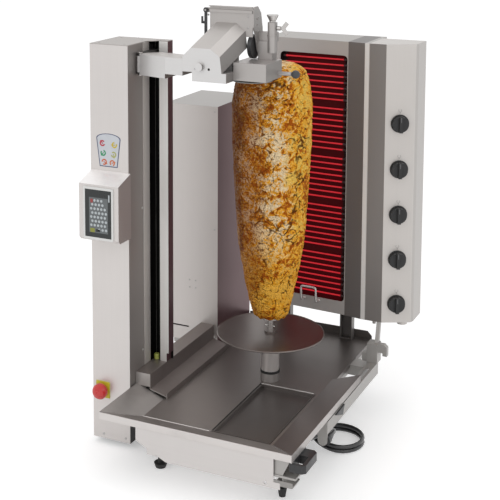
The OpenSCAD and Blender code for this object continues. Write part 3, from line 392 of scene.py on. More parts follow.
def brushed(name, light, stretch, gloss, shade=(), inside=(), blur=BLUR, stains=(), metal=None):
    """Brushed steel. shade lists (direction, colour) for walls that look along a direction, and
    inside lists ((low, high), colour) for boxes: these colours are painted shade, and painted
    light where they are lighter than the steel. blur softens those boxes' edges, and stains is
    (size, amount, colour)."""
    steel = bpy.context.scene.grill_steel
    made, t, shader = new_finish(name, Metallic=steel.metal if metal is None else metal)
    grain = use(t, "Brushing", Stretch=stretch, Depth=steel.grain, Gloss=gloss)
    tint = t.mix(0.0, light, light)
    # Painted light and shade, first by the way each wall faces, then in boxes.
    for toward, tone in shade:
        tint = t.mix(use(t, "Facing", Toward=toward)["Mask"], tint, tone)
    for (low, high), tone in inside:
        mask = use(t, "Inside", Low=low, High=high, Blur=blur)["Mask"]
        tint = t.mix(mask, tint, tone)
    if stains:
        size, amount, tone = stains
        tint = t.mix(use(t, "Grime", Size=size, Amount=amount)["Mask"], tint, tone)
    edge = use(t, "Soft edge", Radius=steel.edge)
    tint = scaled(t, tint, grain["Tone"])
    bump = t.bump(grain["Height"], 0.05, 0.0004, Normal=edge["Normal"])
    t.drive(shader, Base_Color=tint, Roughness=grain["Roughness"], Normal=bump)
    return made


def moulded(name, tint, rough, grain, depth, coat=0.0, mottle=0.12):
    """Moulded plastic or rubber, with a fine erosion grain, soft edges and a painted highlight
    along the edges.
    """
    steel = bpy.context.scene.grill_steel
    made, t, shader = new_finish(name, Coat_Weight=coat, Coat_Roughness=0.2)
    where = t.place()
    fine = t.noise(where, grain, 2.0)
    cloud = t.noise(where, 28, 3.0)
    edge = use(t, "Soft edge", Radius=steel.edge)
    tone = t.math("MULTIPLY_ADD", t.minus(cloud, 0.5), mottle * 2, 1.0)
    base = scaled(t, tint, tone)
    # Painted highlight: the edges are lightened.
    edge_highlight = tuple(min(1.0, c * 1.5 + 0.03) for c in tint)
    base = t.mix(t.times(edge["Mask"], 0.5), base, edge_highlight)
    gloss = t.steps(cloud, 0.3, 0.7, rough - 0.06, rough + 0.06)
    bump = t.bump(fine, depth, 0.0003, Normal=edge["Normal"])
    t.drive(shader, Base_Color=base, Roughness=gloss, Normal=bump)
    return made


def give(material, *nodes):
    """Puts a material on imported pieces."""
    for node in nodes:
        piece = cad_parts[node]
        piece.data.materials.clear()
        piece.data.materials.append(material)


# ---------------------------------------------------------------- mesh helpers


class Shape:
    """Collects the solids of one piece in a bmesh."""

    def __init__(self):
        self.mesh = bmesh.new()

    def plate(self, outline, at, thick):
        """A flat outline of (u, v) points, given a thickness along its own +Z."""
        base = [self.mesh.verts.new((u, v, 0)) for u, v in outline]
        face = self.mesh.faces.new(base)
        top = bmesh.ops.extrude_face_region(self.mesh, geom=[face])["geom"]
        raised = [g for g in top if isinstance(g, bmesh.types.BMVert)]
        bmesh.ops.translate(self.mesh, vec=(0, 0, thick), verts=raised)
        bmesh.ops.transform(self.mesh, matrix=at, verts=base + raised)

    def skin(self, rings, closed=False):
        """Joins rings of vertices, where a ring of one vertex is a tip."""
        pairs = list(zip(rings, rings[1:]))
        if closed:
            pairs.append((rings[-1], rings[0]))
        for a, b in pairs:
            steps = max(len(a), len(b))
            for k in range(steps):
                m = (k + 1) % steps
                if len(a) == 1:
                    self.mesh.faces.new((a[0], b[m], b[k]))
                elif len(b) == 1:
                    self.mesh.faces.new((a[k], a[m], b[0]))
                else:
                    self.mesh.faces.new((a[k], a[m], b[m], b[k]))
        if not closed:
            for ring in (rings[0][::-1], rings[-1]):
                if len(ring) > 1:
                    self.mesh.faces.new(ring)

    def turned(self, profile, at, steps=32, closed=False):
        """A profile of (radius, height) points turned round its own Z axis."""
        rings = []
        for radius, height in profile:
            outline = circle(radius, steps) if radius > 1e-9 else [(0, 0)]
            rings.append([self.mesh.verts.new(at @ Vector((u, v, height))) for u, v in outline])
        self.skin(rings, closed)

    def swept(self, path, radius, sides=12):
        """A round rod along a path of points, with flat ends."""
        path = [Vector(p) for p in path]
        normal = None
        rings = []
        for i, point in enumerate(path):
            ahead = (path[min(i + 1, len(path) - 1)] - path[max(i - 1, 0)]).normalized()
            if normal is None:
                normal = ahead.orthogonal().normalized()
            normal = (normal - ahead * normal.dot(ahead)).normalized()
            side = ahead.cross(normal)
            rings.append([
                self.mesh.verts.new(point + u * normal + v * side) for u, v in circle(radius, sides)
            ])
        self.skin(rings)

    def piece(self, name, material, body, slot=None, bevel=0.0, smooth=True):
        bmesh.ops.recalc_face_normals(self.mesh, faces=self.mesh.faces)
        data = bpy.data.meshes.new(name)
        self.mesh.to_mesh(data)
        self.mesh.free()
        data.materials.append(material)
        made = linked(name, data)
        if smooth:
            data.polygons.foreach_set("use_smooth", [True] * len(data.polygons))
            data.set_sharp_from_angle(angle=math.radians(35))
        if bevel:
            soft = made.modifiers.new("Edges", "BEVEL")
            soft.width, soft.segments, soft.limit_method = bevel, 2, "ANGLE"
        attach(made, body)
        return made


def facing(origin, normal, up=(0, 0, 1)):
    """A matrix whose +Z is normal and whose +Y is as close to up as it can be."""
    z = Vector(normal).normalized()
    x = Vector(up).cross(z).normalized()
    y = z.cross(x)
    turn = Matrix((x, y, z)).transposed().to_4x4()
    return Matrix.Translation(Vector(origin)) @ turn


def shifted(at, u=0.0, v=0.0, w=0.0):
    """The matrix at, moved along its own axes."""
    return at @ Matrix.Translation((u, v, w))


def linked(name, data):
    """A new object in the scene."""
    made = bpy.data.objects.new(name, data)
    bpy.context.scene.collection.objects.link(made)
    return made


def circle(radius, steps):
    turn = 2 * math.pi / steps
    return [(radius * math.cos(turn * k), radius * math.sin(turn * k)) for k in range(steps)]


def rectangle(u0, v0, u1, v1):
    return [(u0, v0), (u1, v0), (u1, v1), (u0, v1)]


def arc(radius, start, sweep, steps=24):
    """The points of an arc. Its angles are in degrees."""
    angles = [math.radians(start + sweep * k / steps) for k in range(steps + 1)]
    return [(radius * math.cos(a), radius * math.sin(a)) for a in angles]


def arc_band(radius, width, start, sweep):
    """The outline of a flat curved band."""
    inner = arc(radius - width / 2, start, sweep)
    return arc(radius + width / 2, start, sweep) + inner[::-1]


def middle_of(node):
    """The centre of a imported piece's box."""
    low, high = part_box(node)
    return (low + high) / 2


def aim(look):
    """The rotation of a lamp or camera that looks along a direction."""
    return look.normalized().to_track_quat("-Z", "Y").to_euler()


def rounded(points, radius, steps=5):
    """A path of points with its corners rounded."""
    points = [Vector(p) for p in points]
    made = [points[0]]
    for before, corner, after in zip(points, points[1:], points[2:]):
        a = corner + (before - corner).normalized() * radius
        b = corner + (after - corner).normalized() * radius
        for k in range(steps + 1):
            f = k / steps
            made.append(a * (1 - f) ** 2 + corner * 2 * f * (1 - f) + b * f * f)
    made.append(points[-1])
    return made


# ---------------------------------------------------------------- studio


class GRILL_OT_studio(bpy.types.Operator):
    """Camera, floor, lamps and the light from all round"""

    bl_idname = "grill.studio"
    bl_label = "Studio"

    def execute(self, context):
        settings = context.scene.grill_stage
        self.camera(context, settings)
        self.floor(settings)
        self.lamps(settings)
        self.surround(context, settings)
        return {"FINISHED"}

    def camera(self, context, settings):
        data = bpy.data.cameras.new("Camera")
        data.lens, data.sensor_width = settings.lens, 36.0
        data.shift_x, data.shift_y = settings.shift_x, settings.shift_y
        data.clip_start, data.clip_end = 0.05, 60
        camera = linked("Camera", data)
        a, e = settings.azimuth, -settings.pitch
        look = Vector((-math.sin(a) * math.cos(e), math.cos(a) * math.cos(e), math.sin(e)))
        camera.location = EYE
        camera.rotation_euler = aim(look)
        context.scene.camera = camera

    def floor(self, settings):
        mesh = bmesh.new()
        bmesh.ops.create_grid(mesh, x_segments=1, y_segments=1, size=30)
        data = bpy.data.meshes.new("Floor")
        mesh.to_mesh(data)
        mesh.free()
        floor = linked("Floor", data)
        made, t, shader = new_finish(
            "Studio floor", Base_Color=tuple(settings.floor), Roughness=0.9, Specular_IOR_Level=0.0
        )
        seen = t.seen()
        white = t.add("ShaderNodeEmission", {"Color": (1, 1, 1, 1), "Strength": 0.36})
        off = t.add("ShaderNodeEmission", {"Color": (0, 0, 0, 1), "Strength": 0.0})
        glow = t.add("ShaderNodeMixShader", {0: seen, 1: off.outputs[0], 2: white.outputs[0]})
        both = t.add("ShaderNodeAddShader", {0: shader.outputs[0], 1: glow.outputs[0]})
        t.drive(made.node_tree.nodes["Material Output"], Surface=both.outputs[0])
        data.materials.append(made)

    def lamps(self, settings):
        target = Vector((0.0, 0.0, 0.6))
        for name, place, size, power in (
            ("Key", (-1.4, -3.0, 2.6), 1.6, settings.key),
            ("Side", (2.6, -1.6, 1.8), 1.2, settings.key * 0.45),
            ("Top", (0.3, 0.2, 3.4), 1.8, settings.key * 0.5),
        ):
            data = bpy.data.lights.new(name, "AREA")
            data.size, data.energy = size, power
            lamp = linked(name, data)
            lamp.location = place
            lamp.rotation_euler = aim(target - Vector(place))

    def surround(self, context, settings):
        world = bpy.data.worlds.new("Studio")
        context.scene.world = world
        world.use_nodes = True
        t = Tree(world.node_tree)
        seen = t.seen("Is Transmission Ray")
        light = world.node_tree.nodes["Background"]
        t.drive(light, Color=(1, 1, 1), Strength=settings.fill)
        white = t.add("ShaderNodeBackground", {"Color": (1, 1, 1, 1), "Strength": 1.0})
        both = t.add("ShaderNodeMixShader", {0: seen, 1: light.outputs[0], 2: white.outputs[0]})
        t.drive(world.node_tree.nodes["World Output"], Surface=both.outputs[0])
        context.scene.view_settings.view_transform = "Standard"


# ---------------------------------------------------------------- mains cord


class GRILL_OT_cord(bpy.types.Operator):
    """The mains cord in its two turns, and its plug"""

    bl_idname = "grill.cord"
    bl_label = "Mains cord"

    LEAD = (
        (267, -132, 99), (267, -122, 99), (266, -110, 98), (262, -98, 95), (254, -86, 89),
        (242, -75, 80), (227, -65, 68), (210, -55, 54), (194, -44, 40), (180, -31, 27),
        (170, -16, 16), (165.8, -1, 8.6), (165, 8, 6), (165, 15, 5.5), (165, 21.6, 5.5),
    )
    TAIL = (
        (165, 42.4, 27.9), (165, 58, 27.9), (164.5, 72, 27.2), (163, 86, 24.6), (160, 101, 19.6),
        (155, 116, 13.6), (148, 130, 8.8), (139, 143, 6.2), (128, 154, 5.5), (115, 162, 5.5),
        (101, 167, 5.5), (86, 169, 5.5), (74, 169, 5.5),
    )
    CENTRE = Vector((0.229, 0.032))
    TURNS, RINGS, LOW, STEP = 2, 24, 0.0055, 0.0112
    CLIMB_FROM, CLIMB_TO = 235, 325

    def coil_point(self, travel, radius):
        """A point of the coil, which climbs by STEP in each turn between two angles."""
        turn, part = divmod(travel, 360)
        f = (part - self.CLIMB_FROM) / (self.CLIMB_TO - self.CLIMB_FROM)
        rise = (1 - math.cos(math.pi * min(1.0, max(0.0, f)))) / 2
        a = math.radians(180 - travel)
        return Vector((
            self.CENTRE.x + radius * math.cos(a),
            self.CENTRE.y + radius * math.sin(a),
            self.LOW + self.STEP * (turn + rise),
        ))

    def execute(self, context):
        settings = context.scene.grill_cord
        lead = [Vector(p) * MM for p in self.LEAD]
        tail = [Vector(p) * MM for p in self.TAIL]
        coil = [self.coil_point(i * 360 / self.RINGS, settings.coil)
                for i in range(self.RINGS * self.TURNS + 1)]
        points = lead + coil + tail
        curve = bpy.data.curves.new("mains_cord", "CURVE")
        curve.dimensions = "3D"
        line = curve.splines.new("POLY")
        line.points.add(len(points) - 1)
        for target, point in zip(line.points, points):
            target.co = (*point, 1)
        curve.bevel_depth = settings.diameter / 2
        curve.bevel_resolution = 6
        curve.use_fill_caps = True
        cord = linked("mains_cord", curve)
        rubber = moulded("Cord rubber", tuple(settings.rubber), 0.30, 900, 0.05, coat=0.5)
        curve.materials.append(rubber)
        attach(cord, "root")
        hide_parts("cord_lead", "cord_coil", "cord_tail")
        plug = self.plug(rubber)
        return {"FINISHED"}

    def plug(self, rubber):
        """The cable's relief, the flat plug body and its two pins, which ride on the body."""
        low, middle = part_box("power_plug")[0], middle_of("power_plug").y
        lying, half = Matrix.Rotation(-math.pi / 2, 4, "Y"), 0.0188
        relief = []
        for k in range(6):
            radius, w = 0.0058 + 0.0005 * k, 0.003 * k
            relief += [(radius + 0.0006, w), (radius + 0.0006, w + 0.0018),
                       (radius - 0.0002, w + 0.0021), (radius - 0.0002, w + 0.0029)]
        shape = Shape()
        shape.turned(relief, Matrix.Translation((0.074, 0.169, 0.0083)) @ lying, 24)
        body = [(-0.044, -half), (-0.044, half), (-0.030, half), (-0.021, 0.011),
                (-0.018, 0.009), (-0.018, -0.009), (-0.021, -0.011), (-0.030, -half)]
        shape.plate(body, Matrix.Translation((0.074, middle, low.z + 0.0006)), 0.0240)
        plug = shape.piece("plug_body", rubber, "root", "black_plastic", bevel=0.0025)
        pins = Shape()
        for side in (-1, 1):
            at = Matrix.Translation((0.031, middle + side * 0.0095, 0.0140)) @ lying
            pins.turned([(0.0024, -0.004), (0.0024, 0.0175), (0.0018, 0.0198), (0.0, 0.02)], at, 16)
        metal = brushed("Plug pins", (0.62, 0.60, 0.56), (400, 60, 60), 0.25)
        made = pins.piece("plug_pins", metal, "root", "machined_steel")
        made.parent, made.matrix_parent_inverse = plug, Matrix.Identity(4)
        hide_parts("power_plug")
        return plug


# ---------------------------------------------------------------- finishes


class GRILL_OT_steel(bpy.types.Operator):
    """Brushed finishes of the casings, the head, the deck and the frame, with painted light and
    shade
    """

    bl_idname = "grill.steel"
    bl_label = "Steel finishes"

    def execute(self, context):
        settings = context.scene.grill_steel
        for name, nodes, light, stretch, gloss, more in (
            *self.casings(settings), *self.head(), *self.base(settings)
        ):
            give(brushed(name, light, stretch, gloss, **more), *nodes.split())
        return {"FINISHED"}

    def casings(self, settings):
        light, (low, high) = tuple(settings.light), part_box("column_casing")
        wall, slot = COLUMN_RIGHT - WALL, high.y - SLOT_WIDTH
        within = (low.x + WALL, low.y + WALL, 0), (wall, high.y - WALL, high.z + 0.01)
        behind = (wall, slot + 0.003, 0), (-0.15, high.y - WALL, 2)
        foot = (COLUMN_RIGHT - 0.0006, -0.5, -0.01), (COLUMN_RIGHT + 0.001, 0, 0.135)
        strip = (COLUMN_RIGHT + 0.0002, slot - 0.034, 0), (COLUMN_RIGHT + 0.003, slot + 0.001, 2)
        return (
            # Column: painted shade on the right wall, painted shadow inside the column, behind the
            # slot and at the foot, and painted light on the strip of the right wall.
            ("Column steel", "column_casing", light, TALL, 0.42,
             dict(shade=[(RIGHT, tuple(settings.shaded))],
                  inside=[(within, SHADOW), (behind, SHADOW), (foot, SHADOW),
                          (strip, (0.56, 0.525, 0.50))])),
            # Top plate: a darker copy of the casing steel, painted shade on the top.
            ("Top plate steel", "column_top_plate", (0.44, 0.41, 0.39), WIDE, 0.42, {}),
            # Post: painted light on its faces and a reddish painted shade and glow reflection on
            # its right side.
            ("Post steel", "column_post", (0.94, 0.925, 0.90), TALL, 0.40,
             dict(shade=[(RIGHT, (0.105, 0.048, 0.056))])),
            # Display housing: painted shade on the right side and painted light on the top.
            ("Display housing steel", "display_housing", light, WIDE, 0.42,
             dict(shade=[(RIGHT, (0.39, 0.355, 0.345)), (UP, (0.98, 0.955, 0.945))])),
            # Power box: a reddish painted shade and glow reflection on the right side, painted
            # shade on the top.
            ("Power box steel", "power_box power_box_cover", (0.60, 0.565, 0.545), TALL, 0.40,
             dict(shade=[(RIGHT, (0.135, 0.066, 0.072)), (UP, (0.41, 0.39, 0.375))])),
            # Heater: painted shade on the top, the left side and the slant, painted light on the
            # strip.
            ("Heater steel", "heater_shell", (0.455, 0.43, 0.415), WIDE, 0.42,
             dict(shade=[(UP, (0.42, 0.40, 0.38)), (LEFT, (0.20, 0.19, 0.18))],
                  inside=[(HEATER_SLANT, (0.165, 0.150, 0.144)),
                          (HEATER_STRIP, (0.72, 0.70, 0.68))], metal=0.35)),
            # Control box: painted shade and dark reflection on the panel's left face, and a
            # slightly darker strip of painted shade at its right edge.
            ("Control box steel", "control_box", (0.60, 0.57, 0.545), TALL, 0.42,
             dict(inside=[(PANEL_LEFT, (0.215, 0.198, 0.188)),
                          (PANEL_RIGHT, (0.50, 0.475, 0.455))], metal=0.4)),
        )

    def head(self):
        return (
            # Head: painted shade on the right sides and the undersides, painted light on the faces
            # that slope forward and down.
            ("Head steel", "swing_arm cutter_housing", (0.545, 0.515, 0.495), WIDE, 0.40,
             dict(shade=[(RIGHT, (0.25, 0.235, 0.225)), (DOWN, (0.2, 0.19, 0.18)),
                         (SLOPE_FRONT, (0.66, 0.65, 0.645))])),
            # Plates: painted light on the fronts and painted shade on the right sides.
            ("Plate steel", "cutter_back_plate blade_guard adjuster_block gauge_beam",
             (0.42, 0.385, 0.37), TALL, 0.38,
             dict(shade=[(FRONT, (0.44, 0.415, 0.40)), (RIGHT, (0.30, 0.285, 0.275))])),
            ("Turned steel", "guide_rods lead_screw pivot_pin adjuster_knob wing_screw skewer",
             (0.52, 0.50, 0.485), ROUND, 0.26, dict(metal=0.9)),
            ("Sleeve steel", "drive_sleeve", (0.66, 0.62, 0.60), ROUND, 0.3, dict(metal=0.5)),
            # Blade: a darkened steel, painted shadow under the beam.
            ("Blade steel", "cutter_blade", (0.20, 0.195, 0.19), WIDE, 0.22, {}),
        )

    def base(self, settings):
        deck = tuple(settings.deck)
        return (
            # Deck: the darkened deck steel (painted shade and dark reflections), darker still
            # towards the back as painted shade, painted light on the front, the right-facing faces
            # and the right slope, painted shade on the left slope. The stains are the deck's own.
            ("Deck steel", "deck_pan", tuple(c * 1.72 for c in deck), WIDE, 0.40,
             dict(inside=[(DECK_BACK, (0.150, 0.132, 0.124))], blur=0.30,
                  shade=[(SLOPE_RIGHT, (0.40, 0.375, 0.36)), (SLOPE_LEFT, (0.172, 0.142, 0.134)),
                         (FRONT, tuple(settings.light)), (RIGHT, (0.52, 0.49, 0.475))],
                  stains=(7.0, 0.14, (0.10, 0.08, 0.074)), metal=0.6)),
            # Pan: the darkened deck steel, painted shade and dark reflections. The stains are the
            # pan's own.
            ("Pan steel", "juice_pan", deck, WIDE, 0.38,
             dict(stains=(7.0, 0.14, (0.085, 0.065, 0.060)), metal=0.6)),
            ("Disc steel", "drip_disc", (0.205, 0.180, 0.168), (160, 160, 900), 0.32,
             dict(stains=(11.0, 0.20, (0.14, 0.08, 0.075)), metal=0.8)),
            # Beam and chute: a darkened steel with painted light on the fronts and painted shade on
            # the right slopes. The stains are their own.
            ("Beam steel", "box_beam side_chute", (0.26, 0.228, 0.215), DEEP, 0.42,
             dict(shade=[(FRONT, (0.50, 0.47, 0.45)), (SLOPE_RIGHT, (0.21, 0.18, 0.17))],
                  stains=(10.0, 0.20, (0.12, 0.09, 0.085)))),
            ("Drawer steel", "drip_drawer", (0.630, 0.600, 0.585), WIDE, 0.42, {}),
            # Frame: painted shade on the undersides.
            ("Frame steel", "base_frame rail_clamp", (0.40, 0.385, 0.37), DEEP, 0.42,
             dict(shade=[(DOWN, (0.12, 0.115, 0.11))])),
            ("Leg steel", "heater_legs", (0.20, 0.185, 0.178), TALL, 0.42, {}),
        )


class GRILL_OT_fittings(bpy.types.Operator):
    """Plastic, rubber, painted and cast pieces"""

    bl_idname = "grill.fittings"
    bl_label = "Plastic and rubber"

    def execute(self, context):
        for name, nodes, tint, rough, grain, depth, more in (
            ("Black plastic", "cutter_latch blade_drive side_handle lock_lever cable_gland",
             (0.026, 0.026, 0.028), 0.38, 1100, 0.14, {}),
            ("Knob plastic", "knob_1 knob_2 knob_3 knob_4 knob_5",
             (0.012, 0.012, 0.0125), 0.5, 1400, 0.10, {}),
            ("Roller rubber", "gauge_roller", (0.05, 0.055, 0.06), 0.42, 700, 0.12, {}),
            ("Seal rubber", "seal_ring feet", (0.020, 0.020, 0.020), 0.6, 700, 0.2, {}),
            ("Bezel plastic", "display_bezel", (0.76, 0.755, 0.74), 0.32, 1800, 0.04,
             dict(mottle=0.02)),
            ("Display glass", "display_glass", (0.016, 0.019, 0.019), 0.30, 50, 0.0, {}),
            ("Stop plate", "estop_plate", (0.62, 0.56, 0.035), 0.42, 1200, 0.08, {}),
            ("Stop button", "estop_button", (0.60, 0.022, 0.020), 0.30, 1500, 0.04,
             dict(coat=0.3)),
            ("Cast carriage", "carriage", (0.028, 0.026, 0.025), 0.5, 500, 0.3, {}),
            ("Motor paint", "lift_motor skewer_motor", (0.04, 0.042, 0.045), 0.5, 600, 0.3, {}),
        ):
            give(moulded(name, tint, rough, grain, depth, **more), *nodes.split())
        return {"FINISHED"}


# ---------------------------------------------------------------- meat


class GRILL_OT_meat(bpy.types.Operator):
    """The roast: ragged slices on the skewer, as one closed mesh"""

    bl_idname = "grill.meat"
    bl_label = "Meat"

    STATIONS = (
        (0, 40), (10, 50), (48, 58), (115, 73), (196, 87), (303, 95), (383, 100), (464, 104),
        (571, 106), (638, 96), (664, 86), (678, 60),
    )
    BORE, RAISED, SEED = 0.0092, 0.002, 7

    def execute(self, context):
        noise.seed_set(self.SEED)  # the vector noise's offsets would differ in each run
        settings = context.scene.grill_meat
        columns, rows = settings.columns, settings.rows
        heights = np.array([s[0] for s in self.STATIONS]) * MM
        radii = np.array([s[1] for s in self.STATIONS]) * MM
        z = np.linspace(0, heights[-1], rows)
        outline = np.interp(z, heights, radii)
        soft = np.convolve(np.pad(outline, 9, "edge"), np.ones(19) / 19, "valid")
        outline = np.minimum(outline, soft + 0.0005)
        angles = [2 * math.pi * k / columns for k in range(columns)]
        co = np.zeros((rows, columns, 3))
        hollow = np.zeros((rows, columns))
        for i in range(rows):
            r0, height = float(outline[i]), float(z[i])
            for k, a in enumerate(angles):
                x, y = math.cos(a), math.sin(a)
                sink = self.sink(Vector((r0 * x, r0 * y, height)), settings.flake)
                r = r0 - settings.depth * sink
                co[i, k] = (r * x, r * y, height)
                hollow[i, k] = sink
        drop = [
            0.006 * (noise.noise(Vector((math.cos(a) * 2.4, math.sin(a) * 2.4, 4.2))) + 0.5)
            for a in angles
        ]
        co[:, :, 2] += np.array(drop)[None, :] * np.clip(1 - z / 0.05, 0, 1)[:, None]
        self.build(context, co, hollow)
        return {"FINISHED"}

    def sink(self, p, flake):
        """How deep a point lies, from 0 on a slice's edge to 1 in a hollow."""
        p = p + noise.noise_vector(p / (flake * 1.5)) * (flake * 0.75)
        p = p + noise.noise_vector(p / (flake * 0.45)) * (flake * 0.18)
        q = Vector((p.x, p.y, p.z * 1.35)) / flake
        slices = 1 - min(1.0, abs(noise.noise(q * 0.85)) * 6.0)
        folds = 1 - min(1.0, abs(noise.noise(q * 1.9 + Vector((7.1, 3.3, 1.7)))) * 4.5)
        fine = 1 - min(1.0, abs(noise.noise(q * 4.3 + Vector((2.4, 9.1, 5.2)))) * 3.5)
        lumps = noise.noise(q * 0.42 + Vector((4.4, 1.2, 8.3)))
        return min(1.0, max(0.0, 0.40 * slices + 0.28 * folds + 0.16 * fine + 0.30 * lumps + 0.10))

    def build(self, context, co, hollow):
        """The roast's mesh, closed round the skewer's bore."""
        rows, columns = hollow.shape
        points = co.reshape(-1, 3) + np.array((SKEWER_X, SKEWER_Y, MEAT_LOW.z))
        ring = np.arange(columns)
        after = (ring + 1) % columns
        faces = []
        for i in range(rows - 1):
            a, b = i * columns, (i + 1) * columns
            faces.extend(zip(a + ring, a + after, b + after, b + ring))
        high = float(points[-columns][2])
        extra = [(SKEWER_X + x, SKEWER_Y + y, z) for z in (MEAT_LOW.z + self.RAISED, high)
                 for x, y in circle(self.BORE, columns)]
        top = (rows - 1) * columns
        low0 = top + columns
        high0 = low0 + columns
        for k, m in zip(ring, after):
            faces.append((low0 + k, low0 + m, m, k))
            faces.append((top + k, top + m, high0 + m, high0 + k))
            faces.append((high0 + k, high0 + m, low0 + m, low0 + k))
        points = np.vstack([points, extra])
        data = bpy.data.meshes.new("roast_meat")
        data.from_pydata(points.tolist(), [], [tuple(int(v) for v in f) for f in faces])
        deep = data.attributes.new("hollow", "FLOAT", "POINT")
        values = np.concatenate([hollow.reshape(-1), np.full(2 * columns, 0.5)])
        deep.data.foreach_set("value", values.astype(np.float32))
        data.polygons.foreach_set("use_smooth", [True] * len(data.polygons))
        data.update()
        meat = linked("roast_meat", data)
        data.materials.append(self.finish(context.scene.grill_meat))
        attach(meat, "skewer")
        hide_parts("meat")

    def finish(self, settings):
        """Golden and pale slices with dark charred specks, painted shade in the hollows and on the
        left side, and painted warm light that turns the pale patches golden on the right.
        """
        made, t, shader = new_finish("Roast meat", Coat_Roughness=0.20, Specular_IOR_Level=0.10)
        where = t.place()
        hollow = t.add("ShaderNodeAttribute", attribute_name="hollow").outputs["Fac"]
        x, y, z = t.axes(where)
        across = t.plus(
            t.times(t.minus(x, SKEWER_X), 0.917), t.times(t.minus(y, SKEWER_Y), 0.399)
        )
        broad = t.noise(where, 14, 3.0, 0.55, 0.6)
        patches = t.plus(t.noise(where, 46, 7.0, 0.66, 1.8),
                         t.times(t.minus(broad, 0.47), 0.55))
        across = t.plus(across, t.times(t.minus(broad, 0.5), 0.10))
        crumbs = t.noise(where, 190, 4.0, 0.70, 1.4)
        streaks = t.noise(t.vector("MULTIPLY", where, (70, 70, 190)), 1.0, 4.0, 0.6, 2.6)
        golden, cream, crust_and_shade = map(tuple, (settings.golden, settings.cream, settings.crust_and_shade))
        # Painted warm light: on the right side the pale patches turn golden.
        pale = t.mix(t.steps(across, 0.030, 0.060), cream, (1.0, 0.66, 0.13))
        pale = t.mix(t.steps(z, 0.62, 0.42), pale, (1.0, 0.56, 0.08))
        tint = t.mix(t.steps(patches, 0.41, 0.47), (0.46, 0.105, 0.003), golden)
        vein = t.steps(t.math("ABSOLUTE", t.minus(streaks, 0.5)), 0.045, 0.010)
        # Painted shade: the dark specks cover the left side more than the right.
        ragged = t.steps(across, 0.040, -0.040, 0.22, 1.0)
        for mask, tone in (
            (t.steps(patches, 0.505, 0.55), pale),
            (t.times(vein, 0.45), (0.30, 0.070, 0.003)),
            (t.times(t.steps(crumbs, 0.515, 0.575), ragged), crust_and_shade),
            # Painted shade: darker in the hollows, then darker towards the left side.
            (t.times(t.steps(hollow, 0.46, 0.64), 0.85), crust_and_shade),
            (t.times(t.steps(across, 0.010, -0.055), 0.62), (0.260, 0.060, 0.003)),
            (t.times(t.steps(across, -0.060, -0.100), 0.65), crust_and_shade),
        ):
            tint = t.mix(mask, tint, tone)
        t.drive(
            shader, Base_Color=tint, Roughness=t.steps(crumbs, 0.3, 0.7, 0.32, 0.6),
            Coat_Weight=t.steps(crumbs, 0.42, 0.36, 0.0, 0.5),
            Normal=t.bump(t.plus(crumbs, streaks), 0.8, 0.0020),
        )
        return made


# ---------------------------------------------------------------- heater


def in_heater(x, y, z):
    """A point of the heater's own frame, turned as its front is."""
    c, s = math.cos(HEATER_TURN), math.sin(HEATER_TURN)
    return Vector((HEATER_ORIGIN.x + x * c - y * s, HEATER_ORIGIN.y + x * s + y * c, z))


